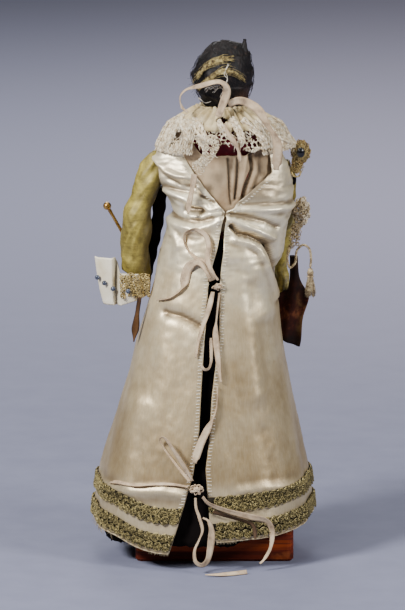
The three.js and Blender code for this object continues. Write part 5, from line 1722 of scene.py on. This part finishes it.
def add_head():
    """The head with its face, its columns crowded at the front, and the neck and eyes."""
    columns, rows = 200, 170
    vertices, faces, tint, brow = [], [], [], []
    for r in range(rows + 1):
        tilt = math.pi * r / rows - math.pi / 2
        for c in range(columns):
            x, y, z, forward = head_point(tilt, crowded_angle(c / columns, 1.5 * math.pi, 0.4))
            vertices.append(HEAD_CENTRE + Vector((x, y, z)))
            colours = face_colours(x, z) if forward > 0.2 else (0.0, 0.0)
            tint.append(colours[0])
            brow.append(colours[1])
    for r in range(rows):
        for c in range(columns):
            a, b = r * columns + c, r * columns + (c + 1) % columns
            face = [a, b, b + columns, a + columns]
            if r == 0:
                face.remove(b)
            if r == rows - 1:
                face.remove(a + columns)
            faces.append(tuple(face))
    head = add_mesh("wax_head", vertices, faces, WAX, "head")
    add_attribute(head, "tint", tint)
    add_attribute(head, "brow", brow)
    foot, top = NECK_ROWS[0][0], NECK_ROWS[-1][0]
    neck = Build()
    neck.tube(smooth_path([(HEAD_CENTRE.x, 0, z) for z, _ in NECK_ROWS], 0.0008),
              lambda share: read_rows(NECK_ROWS, lerp(foot, top, share))[0], 48)
    neck.piece("wax_neck", WAX, "wax", "head")
    add_eyes()


def add_lid(build, centre, edge, far):
    """An eyelid over the ball of the eye, from its free edge up or down to the socket."""
    def place(r, c):
        turn = lerp(-1.40, 1.40, c / 30)
        tilt = lerp(edge * math.cos(turn), far, r / 10)
        grow = 1.0 + 0.04 * math.sin(math.pi * r / 10)
        out = Vector((math.sin(turn) * math.cos(tilt), -math.cos(turn) * math.cos(tilt), math.sin(tilt)))
        return centre + out * Vector((0.0039, 0.0037, 0.0033)) * grow

    build.sheet(make_grid(11, 31, place), 0.0003)


def add_eyes():
    white, dark, lids = Build(), Build(), Build()
    for side in (-1, 1):
        centre = HEAD_CENTRE + Vector((side * 0.0074, -0.0163, 0.0000))
        white.ball(centre, (0.0036, 0.0034, 0.0030), 28, 18)
        dark.ball(centre + Vector((0, -0.0018, 0)), (0.0018, 0.0017, 0.0018), 20, 12)
        add_lid(lids, centre, 0.34, 1.35)
        add_lid(lids, centre, -0.52, -1.35)
    white.piece("eye_whites", EYE_WHITE, "wax", "head")
    dark.piece("eye_irises", EYE_DARK, "wax", "head")
    lids.piece("eyelids", WAX, "wax", "head")


# Hair

def hair_back(x, z, lift=0.0):
    """The point on the back of the hair at x and z."""
    left, right = read_rows(HAIR_ROWS, z)[:2]
    share = ((left + right) / 2 - x) / ((left - right) / 2 + lift)
    return ring_point(HAIR_ROWS, math.asin(clamp(share, -1, 1)), z, lift)


def hair_shift(point, angle):
    """Wrapped tufts: broad flat turns, each with its own small strands."""
    band = (point.z - 0.366) / 0.0115 + 0.45 * math.sin(angle + 0.6) + 0.25 * ripple(point, 0.02)
    step = band - math.floor(band)
    turns = 0.0011 * (step**3) - 0.0004
    facets = 0.0010 * abs(ripple(point, 0.014, 5.0))
    strands = 0.00030 * ripple((point.x, point.y, point.z * 0.45), 0.0018, 2.0)
    return turns + facets + strands


def add_hair():
    """The wrapped hair, open round the face, with its pointed flap and loose strands."""
    columns, levels = 160, 90
    low, top = HAIR_ROWS[0][0], HAIR_ROWS[-1][0]

    def place(r, c):
        z = lerp(low, top, 1 - (1 - r / levels) ** 1.5)
        angle = crowded_angle(c / columns, 0.0, 0.3)
        point = ring_point(HAIR_ROWS, angle, z)
        if r == levels:
            point = point.lerp(Vector((-0.006, 0, top)), 0.97)
        outward = Vector((point.x + 0.006, point.y, (point.z - 0.39) * 0.6)).normalized()
        return point + outward * hair_shift(point, angle)

    grid = make_grid(levels + 1, columns, place)

    def keep(r, c):
        point = grid[r][c]
        across = (point.x - HEAD_CENTRE.x) / 0.0168
        up = (point.z - 0.3775) / (0.0265 + 0.0014 * ripple(point, 0.004))
        return not (point.y < -0.004 and across * across + up * up < 1)

    build = Build()
    build.sheet(grid, 0.0022, wrapped=True, keep=keep)
    add_hair_flap(build)
    add_hair_strands(build)
    build.piece("wrapped_hair", HAIR, "hair", "hair")


def add_hair_flap(build):
    """The stiff pointed end of the wrap that stands up on the right."""
    rows, columns = 30, 14

    def place(r, c):
        t = r / rows
        u = 1 - 2 * c / columns
        half = 0.0056 * (1 - t) ** 0.6 + 0.0001
        bow = 0.0022 * (1 - u * u) + 0.0005 * ripple((u, t, 0), 0.3)
        centre = Vector((lerp(-0.0215, -0.0243, t), lerp(0.010, 0.003, t), lerp(0.3960, 0.4205, t)))
        return centre + Vector((half * u, bow, 0))

    build.sheet(make_grid(rows + 1, columns + 1, place), 0.0016)


def add_hair_strands(build):
    """Strands that stick out at the left, and finer ones that lie over the wrap."""
    for _ in range(150):
        start = hair_back(random.uniform(0.004, 0.016), random.uniform(0.380, 0.398), -0.0004)
        away = Vector((random.uniform(0.3, 1.0), random.uniform(0.0, 0.4), random.uniform(-0.8, 0.3)))
        reach = random.uniform(0.003, 0.010)
        middle = start + away * reach * 0.5 + Vector((0, 0, 0.0008))
        build.tube([start, middle, start + away * reach], 0.00009, 3)
    for _ in range(260):
        angle = random.uniform(-1.9, 1.9)
        z = random.uniform(0.370, 0.412)
        start = ring_point(HAIR_ROWS, angle, z, 0.0006)
        angle += random.uniform(-0.5, 0.5)
        end = ring_point(HAIR_ROWS, angle, z - random.uniform(0.002, 0.012), 0.0014)
        middle = (start + end) / 2 + Vector((start.x + 0.006, start.y, 0)).normalized() * 0.0010
        build.tube([start, middle, end], 0.00012, 3)


def add_straw_band(name, stations, seed):
    """A flat wisp of straw-coloured fibres of many lengths that spread and cross."""
    rng = random.Random(seed)
    build = Build()
    for i in range(96):
        spread = 0.0008 if i < 60 else 0.0022
        start, end = rng.gauss(0, spread), rng.gauss(0, spread)
        points = []
        for k, (x, z) in enumerate(stations):
            share = k / (len(stations) - 1)
            lift = 0.0013 + abs(rng.gauss(0, 0.0006))
            dz = lerp(start, end, share) + rng.gauss(0, 0.0004)
            points.append(hair_back(x + rng.gauss(0, 0.0004), min(z + dz, 0.4165), lift))
        path = smooth_path(points, 0.0015)
        first = round(len(path) * abs(rng.gauss(0.0, 0.24)))
        last = round(len(path) * (1 - abs(rng.gauss(0.0, 0.26))))
        if last - first > 5:
            build.tube(path[first:last], rng.uniform(0.00008, 0.00019), 3)
    build.piece(name + "_fibres", STRAW, "straw", name)


def add_loose_threads():
    """White threads tangled over the lower part of the hair."""
    rng = random.Random(5)
    build = Build()
    for points in THREAD_TANGLES:
        for _ in range(2):
            path = [hair_back(x + rng.gauss(0, 0.0006), z + rng.gauss(0, 0.0006), rng.uniform(0.0012, 0.0026))
                    for x, z in points]
            build.tube(smooth_path(path, 0.0008), 0.00020, 5)
    build.piece("loose_threads", WHITE_THREAD, "straw", "straw_band_lower")


# Left arm

def add_sleeve(name, rows, seed, inner, slant):
    """A silk sleeve with soft wrinkles, with painted shade in them and on its inner side, where its end hangs
    lower by the slant.
    """
    columns, levels = 100, 84

    def place(r, c):
        z = lerp(rows[0][0], rows[-1][0], r / levels)
        x, y, rx, ry = read_rows(rows, z)
        angle = 2 * math.pi * c / columns
        out = Vector((-math.sin(angle), math.cos(angle), 0))
        spot = Vector((out.x * 0.8, out.y * 0.8, z * 46))
        wrinkle = 0.0038 * (0.30 - abs(noise.noise(spot + Vector((seed, 0, out.x * 1.2)))))
        swell = 0.0008 * math.sin(z * 190 + 1.5 * math.sin(angle))
        grow = wrinkle + 0.0008 * noise.noise(spot * 2.6) + swell - 0.0008
        drop = slant * (0.5 + 0.5 * inner * out.x) * (1 - r / levels) ** 4
        return Vector((x + out.x * (rx + grow), y + out.y * (ry + grow), z - drop)), grow

    grid, heights = split_pairs(make_grid(levels + 1, columns, place))
    # Painted shade in the wrinkles and on the side towards the body
    shade_values = hollows_of(heights, 3, 0.0016)
    for row in shade_values:
        for c in range(columns):
            towards_body = -inner * math.sin(2 * math.pi * c / columns)
            row[c] = max(row[c], 0.90 * clamp((towards_body + 0.05) / 0.8))
    sheet_piece(name + "_silk", grid, 0.0008, OLIVE_SILK, "olive_silk", name, wrapped=True,
                shade_values=shade_values)


def add_inner_dark():
    """The dark inner robe that fills the gap between the left sleeve and the gown, near-black to paint the
    deep shade of that gap as well.
    """
    build = Build()
    build.tube(smooth_path(INNER_DARK_PATH, 0.0012),
               lambda share: 0.0056 - 0.0022 * share + 0.0004 * math.sin(40 * share), 28)
    build.piece("sleeve_left_dark_gap", DARK_CLOTH, "dark_cloth", "sleeve_left")


def cuff_point(share, level):
    """A point of the cuff: share runs round it, level from its lower to its upper edge."""
    corners = CUFF_PLAN[::-1]
    count = len(corners)
    place = (share % 1) * count
    index = int(place)
    t = place - index
    a, b, c, d = (Vector(corners[(index + k) % count]) for k in (-1, 0, 1, 2))
    x, y = b.lerp(c, t).lerp(between(a, b, c, d, t), 0.6)
    low = 0.2035 if x > 0.074 else lerp(0.211, 0.204, clamp((x - 0.052) / 0.022))
    high = lerp(0.2295, 0.242, clamp((x - 0.0765) / 0.003)) - 0.0075 * clamp((-y - 0.002) / 0.012)
    taper = max(0.0, x - 0.078) * 0.36 * (1 - level)
    bend = 0.0008 * math.sin(math.pi * level) + 0.0004 * noise.noise(Vector((x * 160, y * 160, level * 3)))
    out = Vector((x - 0.073, y + 0.009)).normalized() * bend
    return Vector((x - taper + out.x, y + out.y, lerp(low, high, level)))


def add_cuff():
    """The cream cuff, with painted shade in the crease of its fold, on its front and towards its upper edge,
    and its row of beads.
    """
    columns, levels = 130, 26
    grid = make_grid(levels + 1, columns, lambda r, c: cuff_point(c / columns, r / levels))
    # Painted shade in the crease between the lobes, over the front, and stronger towards the upper edge
    shade_values = []
    for r, row in enumerate(grid):
        dark = [math.exp(-(((point.x - 0.0785) / 0.0020) ** 2)) if point.y > -0.004 else 0.4 for point in row]
        shade_values.append([value * clamp(0.35 + 0.9 * r / levels) for value in dark])
    sheet_piece("cuff_left_cloth", grid, 0.0010, CREAM_CLOTH, "cream_cloth", "cuff_left",
                wrapped=True, shade_values=shade_values)
    for i, place in enumerate(CUFF_BEADS):
        centre = Vector(place)
        bead = Build()
        bead.ball(centre, (0.0016, 0.0011, 0.0016), 20, 12)
        rim = loop_path(centre + Vector((0, 0.0001, 0)), Vector((0.00175, 0, 0)), Vector((0, 0, 0.00175)), 16)
        bead.tube(rim, 0.00028, 6)
        bead.piece(f"cuff_bead_{i + 1}_glass", BEAD, "bead", f"cuff_bead_{i + 1}")


def add_cuff_lace():
    """Crumpled gold lace at the end of the left sleeve."""
    columns, levels = 46, 34

    def place(r, c):
        x, z = lerp(0.0758, 0.0520, c / columns), lerp(0.2110, 0.2300, r / levels)
        fold = 0.0013 * math.sin(c * 0.42 + r * 0.1) + 0.0014 * ripple((x, 0, z), 0.006)
        drop = 0.0010 * math.sin(c * 0.3) + 0.0016 * ripple((x, 0, 0), 0.005)
        return Vector((x, 0.0122 + fold, z - drop))

    def keep(r, c):
        if r < 3:
            return (c // 3) % 2 == 0
        return not lace_hole(c * 0.0005, r * 0.00055, 0.0021)

    sheet_piece("cuff_lace_left_net", make_grid(levels + 1, columns + 1, place), 0.0007, GOLD_THREAD,
                "gold_lace", "cuff_lace_left", keep=keep)


def add_left_strip():
    """The small brown strip that hangs under the left cuff."""
    path = smooth_path([(0.0600, 0.0170, 0.2120), (0.0622, 0.0170, 0.1960), (0.0648, 0.0170, 0.1755)], 0.0012)
    build = Build()
    build.ribbon(path, along((0, 0.0034), (0.35, 0.0040), (0.7, 0.0062), (1, 0.0010)), 0.0006,
                 Vector((0, 1, 0)), along((0, 0.3), (0.3, 0.7), (0.6, 0.1), (1, 0.5)), 0.12)
    build.piece("strip_left_cloth", BROWN_CLOTH, "brown_cloth", "strip_left")


def add_rod():
    """The brass rod with turned rings under its ball."""
    build = Build()
    path = [ROD_FOOT.lerp(ROD_TOP, i / 40) for i in range(41)]
    build.tube(path, lambda share: 0.0013 + 0.00025 * (share > 0.88) * math.sin(share * 60) ** 2, 20)
    build.ball(ROD_TOP, (ROD_BALL, ROD_BALL, ROD_BALL), 32, 20)
    build.piece("brass_rod", BRASS, "brass", "rod")


def add_hand(name, side, place, yaw):
    """A loosely closed wax hand: fingers curl downwards and the thumb lies beside them."""
    build = Build()
    turn = Matrix.Rotation(yaw, 3, "Y") @ Matrix.Rotation(math.pi / 2, 3, "X")

    def at(x, y, z):
        return turn @ (Vector((x, y, z)) * MM) + place

    def add_digit(points, radius, tip):
        path = smooth_path(points, 0.0005)
        build.tube(path, radius, 16)
        build.ball(path[-1], (tip, tip, tip), 16, 10)

    wrist = smooth_path([at(0, 0, -9), at(0, 0, -3), at(0, 0, 4)], 0.0006)
    build.tube(wrist, lambda share: 0.0042 + 0.0006 * share, 32)
    for x, y, z, rx, ry, rz in PALM_BALLS:
        build.ball(at(x, y, z), (rx * MM, ry * MM, rz * MM), 32, 20, turn)
    for finger in range(4):
        across = -4.8 + 3.2 * finger
        reach = FINGER_REACH[finger]
        points = [at(across, 0.6, 8), at(across, 1.4, 13 + reach), at(across, 0.2, 18 + reach),
                  at(across * 0.95, -4, 20 + reach), at(across * 0.9, -8, 17.5 + reach),
                  at(across * 0.9, -9, 14)]
        add_digit(points, lambda s: 0.00175 - 0.0004 * s + 0.00012 * math.cos(18 * s), 0.00135)
    thumb = [at(side * 4, 0, 0), at(side * 6.6, -2.5, 4), at(side * 6.4, -6, 8), at(side * 4.4, -8.6, 11)]
    add_digit(thumb, lambda s: 0.0024 - 0.0007 * s, 0.0017)
    hand = build.piece(name + "_wax", WAX, "wax", name)
    merge = hand.modifiers.new("merge", "REMESH")
    merge.mode = "VOXEL"
    merge.voxel_size = 0.00046
    merge.use_smooth_shade = True
    soften = hand.modifiers.new("soften", "SMOOTH")
    soften.iterations = 6


# Right arm

def add_brocade_pad(pad):
    """The pad under the gold thread: a ball and a narrowing end with an uneven surface."""
    build = Build()
    build.ball(Vector((-0.0690, 0.0005, 0.3280)), (0.0078, 0.0048, 0.0092), 40, 30)
    build.tube(pad, lambda share: 0.0060 - 0.0028 * share, 24)
    for i, vertex in enumerate(build.vertices):
        uneven = 0.0011 * noise.noise(vertex * 380) + 0.0005 * noise.noise(vertex * 1300)
        build.vertices[i] = vertex + (vertex - STONE_PLACE).normalized() * uneven
    build.piece("shoulder_brocade", BROCADE, "brocade", "shoulder_ornament")


def add_gold_coils(pad):
    """Waved coils round the stone, small rings over the pad and a loop at its end."""
    rng = random.Random(11)
    coils = Build()
    for step in range(5):
        size = 0.0040 + 0.0010 * step
        path = []
        for k in range(61):
            angle = 2 * math.pi * k / 60
            wave = 1 + 0.12 * math.cos(11 * angle + step)
            path.append(STONE_PLACE + Vector((size * 0.92 * wave * math.cos(angle), -0.0011 * step + 0.0004,
                                              size * 1.12 * wave * math.sin(angle))))
        coils.tube(path, 0.00044, 5)
    for _ in range(70):
        place = pad[rng.randrange(len(pad))]
        angle = rng.uniform(0.0, math.pi)
        away = Vector((0.0056 * math.cos(angle), 0.0050 * math.sin(angle), 0)) * rng.uniform(0.75, 1.0)
        centre = place + away + Vector((0, 0.0003, 0))
        ring = loop_path(centre, Vector((0.0011, 0, 0)), Vector((0, 0, 0.0011)), 12)
        coils.tube(ring, 0.00030, 4)
    loop = [(-0.0615, 0.004, 0.3125), (-0.0640, 0.006, 0.3088), (-0.0680, 0.005, 0.3090),
            (-0.0690, 0.003, 0.3120)]
    coils.tube(smooth_path(loop, 0.0006), 0.0007, 6)
    coils.piece("shoulder_gold_thread", GOLD_THREAD, "brocade", "shoulder_ornament")


def add_shoulder_ornament():
    """A brocade pad that narrows downwards, with a gold rosette round a black stone at its top."""
    pad = smooth_path([(-0.0690, 0, 0.3270), (-0.0668, 0, 0.3190), (-0.0640, 0, 0.3110)], 0.0008)
    add_brocade_pad(pad)
    add_gold_coils(pad)
    dark = Build()
    dark.ball(Vector((-0.0636, 0.0010, 0.3050)), (0.0021, 0.0018, 0.0042), 20, 14)
    dark.piece("shoulder_dark_end", DARK_CLOTH, "brocade", "shoulder_ornament")
    stone = Build()
    stone.ball(STONE_PLACE, (0.0034, 0.0026, 0.0044), 28, 18)
    stone.piece("shoulder_black_stone", BLACK_STONE, "black_stone", "shoulder_stone")


def add_tuft_curls(rng):
    """Small curls of cord round the tuft and down its tail."""
    curls = Build()
    for _ in range(150):
        t = rng.random()
        place, spread = Vector((-0.0690, -0.004, 0.2790)), 0.0062
        if rng.random() < 0.55:
            place = Vector((lerp(-0.0672, -0.0632, t), lerp(-0.004, 0.003, t), lerp(0.2700, 0.2530, t)))
            spread = 0.0034
        away = Vector((rng.gauss(0, 1), rng.gauss(0, 1), rng.gauss(0, 1))).normalized() * spread
        size = rng.uniform(0.0009, 0.0017)
        path = []
        for k in range(11):
            turn = 2 * math.pi * k / 9
            curl = Vector((math.cos(turn), 0.5 * math.sin(turn * 2), math.sin(turn))) * size
            path.append(place + away + curl)
        curls.tube(path, 0.00032, 4)
    return curls.piece("lace_tuft_curls", CORD_THREAD, "lace", "lace_tuft_right")


def add_lace_tuft():
    """A crumpled bag of net with curls of cord round it."""
    rng = random.Random(3)
    columns, levels = 72, 44
    centre = Vector((-0.070, -0.006, 0.2775))

    def place(r, c):
        tilt = lerp(-1.45, 1.45, r / levels)
        angle = 2 * math.pi * c / columns
        away = Vector((-math.sin(angle) * math.cos(tilt), math.cos(angle) * math.cos(tilt), math.sin(tilt)))
        crumple = 1 + 0.38 * noise.noise(away * 2.6) + 0.16 * noise.noise(away * 6)
        return centre + Vector((away.x * 0.0062, away.y * 0.0062, away.z * 0.0108)) * crumple

    def keep(r, c):
        if r == 0 or r == levels - 1:
            return rng.random() > 0.4
        return not lace_hole(c * 0.0006, r * 0.0006, 0.0022)

    sheet_piece("lace_tuft_right_net", make_grid(levels + 1, columns, place), 0.0005, LACE, "lace",
                "lace_tuft_right", wrapped=True, keep=keep, extra=[add_tuft_curls(rng)])


def add_velvet():
    """A flattened roll of velvet with a bound upper end and soft folds down it."""
    columns, levels = 72, 72
    low, top = VELVET_ROWS[0][0], VELVET_ROWS[-1][0]

    def place(r, c):
        z = lerp(low, top, r / levels)
        inner, outer = read_rows(VELVET_ROWS, z)
        angle = 2 * math.pi * c / columns
        x = (inner + outer) / 2 - (inner - outer) / 2 * math.sin(angle)
        depth = 0.0034 * signed_power(math.cos(angle), 0.6)
        fold = 0.0022 * math.sin((x + 0.052) * 420 + z * 60) + 0.0010 * ripple((x, 0, z), 0.010)
        sway = 0.0022 * math.sin((z - low) * 88) - 0.0012 * math.sin((z - low) * 41)
        shown = 1.0 if math.cos(angle) > 0 else 0.35
        return Vector((x, -0.0170 + depth + sway + fold * shown, z))

    sheet_piece("velvet_fold", make_grid(levels + 1, columns, place), 0.0009, VELVET, "velvet",
                "velvet_cloth", wrapped=True)


def add_tassel_threads():
    """The tassel: a small head, hanging threads and the turns that bind them."""
    rng = random.Random(21)
    build = Build()
    build.ball(TASSEL_TOP - Vector((0, 0, 0.0020)), (0.0021, 0.0021, 0.0026), 20, 14)
    for _ in range(150):
        angle = rng.uniform(0, 2 * math.pi)
        across = Vector((math.cos(angle), 0.85 * math.sin(angle), 0)) * rng.uniform(0.2, 1.0) ** 0.5
        end = (rng.uniform(0.0038, 0.0050), rng.uniform(0.0190, 0.0238))
        profile = [*TASSEL_PROFILE, end]
        points = [TASSEL_TOP + across * reach - Vector((0, 0, down)) for reach, down in profile]
        build.tube(smooth_path(points, 0.0030), 0.00026, 4)
    waist = TASSEL_TOP - Vector((0, 0, 0.0066))
    turns = loop_path(waist, Vector((0.0026, 0, 0)), Vector((0, 0.0024, 0)), 20, 2)
    build.tube([point + Vector((0, 0, 0.0002 * (k % 2))) for k, point in enumerate(turns)], 0.00045, 6)
    return build.piece("tassel_threads", CORD_THREAD, "cord", "tassel")


def add_tassel():
    """The twisted cord of two strands, with the tassel at its end."""
    tassel = add_tassel_threads()
    path = smooth_path(TASSEL_CORD, 0.0006)
    cord = Build()
    for strand in (0, 1):
        line = []
        run = 0.0
        for i, point in enumerate(path):
            ahead = ahead_at(path, i)
            side = ahead.cross(Vector((0, 1, 0))).normalized()
            other = ahead.cross(side)
            turn = run / 0.0032 * 2 * math.pi + strand * math.pi
            line.append(point + (side * math.cos(turn) + other * math.sin(turn)) * 0.00052)
            if i + 1 < len(path):
                run += (path[i + 1] - point).length
        cord.tube(line, 0.00062, 7)
    piece = cord.piece("tassel_cord_twist", CORD_THREAD, "cord", "tassel_cord")
    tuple(path[0])
    path_length(path)


# Base, camera and stage

def finish_base():
    """The block is a plain solid, so it only gets its wood."""
    bpy.data.objects["base"].material_slots[0].material = WOOD


def add_camera():
    camera = bpy.data.objects.new("camera", bpy.data.cameras.new("camera"))
    bpy.context.collection.objects.link(camera)
    away = Vector((0, math.cos(CAMERA_ELEVATION), math.sin(CAMERA_ELEVATION)))
    camera.location = CAMERA_TARGET + away * CAMERA_DISTANCE
    camera.rotation_mode = "QUATERNION"
    camera.rotation_quaternion = (-away).to_track_quat("-Z", "Y")
    camera.data.sensor_width = SENSOR
    camera.data.lens = SENSOR * CAMERA_DISTANCE / PICTURE_HEIGHT
    camera.data.clip_end = 5 * CAMERA_DISTANCE
    bpy.context.scene.camera = camera


def add_light(name, location, energy, size):
    """A square lamp that looks at the middle of the figure."""
    light = bpy.data.objects.new(name, bpy.data.lights.new(name, "AREA"))
    bpy.context.collection.objects.link(light)
    light.location = location
    light.data.energy = energy
    light.data.size = size
    light.rotation_mode = "QUATERNION"
    light.rotation_quaternion = (LAMP_TARGET - Vector(location)).to_track_quat("-Z", "Y")


def paper_material():
    """Pale paper with painted light: lighter further off and towards -X."""
    n = Nodes("backdrop_paper")
    speckle = n.noise(30, detail=3)
    near = n.ramp(speckle, [(0.3, rgb(118, 120, 140)), (0.7, rgb(124, 126, 146))])
    # Painted light: the far floor is lighter, and lighter again towards -X
    far = n.ramp(n.steps(n.axis("X"), 0.25, -0.25), [(0.0, rgb(146, 147, 168)), (1.0, rgb(164, 162, 182))])
    colour = n.mix(n.steps(n.axis("Y"), -0.1, -1.5), near, far)
    return n.finish(colour, 0.9, n.heights((speckle, 0.0002, 0.1)), Specular_IOR_Level=0.1)


def add_stage():
    """A plain floor that is wide enough to fill every view, four lamps and a faint even light."""
    mesh = bpy.data.meshes.new("backdrop")
    corners = [(x * FLOOR_HALF, y * FLOOR_HALF, 0) for x, y in ((-1, -1), (1, -1), (1, 1), (-1, 1))]
    mesh.from_pydata(corners, [], [(0, 1, 2, 3)])
    mesh.materials.append(paper_material())
    backdrop = bpy.data.objects.new("backdrop", mesh)
    bpy.context.collection.objects.link(backdrop)
    for name, location, energy, size in LAMPS:
        add_light(name, location, energy, size)
    world = bpy.data.worlds.new("studio")
    world.use_nodes = True
    background = world.node_tree.nodes["Background"]
    background.inputs["Color"].default_value = (0.60, 0.60, 0.62, 1)
    background.inputs["Strength"].default_value = 0.14
    bpy.context.scene.world = world


add_camera()
add_neck_ribbons()
add_waist_ribbons()
add_hem_ribbons()
add_knot("waist_knot", -0.002, 0.227, Vector((0.0038, 0.0022, 0.0028)), wraps=4, bows=3, seed=4)
add_knot("hem_knot", 0.0143, 0.0676, Vector((0.0050, 0.0026, 0.0038)), wraps=3, bows=9, seed=8)
finish_base()
add_under_skirt()
add_bodice()
add_under_blouse()
upper_braid = add_hem_braid("hem_braid_upper", UPPER_BRAID, 1)
lower_braid = add_hem_braid("hem_braid_lower", LOWER_BRAID, 2)
make_gown([*upper_braid, *lower_braid, add_gown_seams(), add_fringe()])
add_lace_collar()
add_lace_fall()
add_head()
add_hair()
add_straw_band("straw_band_upper", STRAW_UPPER, 1)
add_straw_band("straw_band_lower", STRAW_LOWER, 2)
add_loose_threads()
add_sleeve("sleeve_left", SLEEVE_LEFT, seed=1.0, inner=-1, slant=0.012)
add_sleeve("sleeve_right", SLEEVE_RIGHT, seed=5.0, inner=1, slant=0.0)
add_inner_dark()
add_cuff()
add_cuff_lace()
add_left_strip()
add_rod()
add_hand("hand_left", 1, Vector((0.062, -0.032, 0.240)), 0.5)
add_hand("hand_right", -1, Vector((-0.050, -0.0605, 0.236)), 0.0)
add_shoulder_ornament()
add_lace_tuft()
add_velvet()
add_tassel()
add_stage()
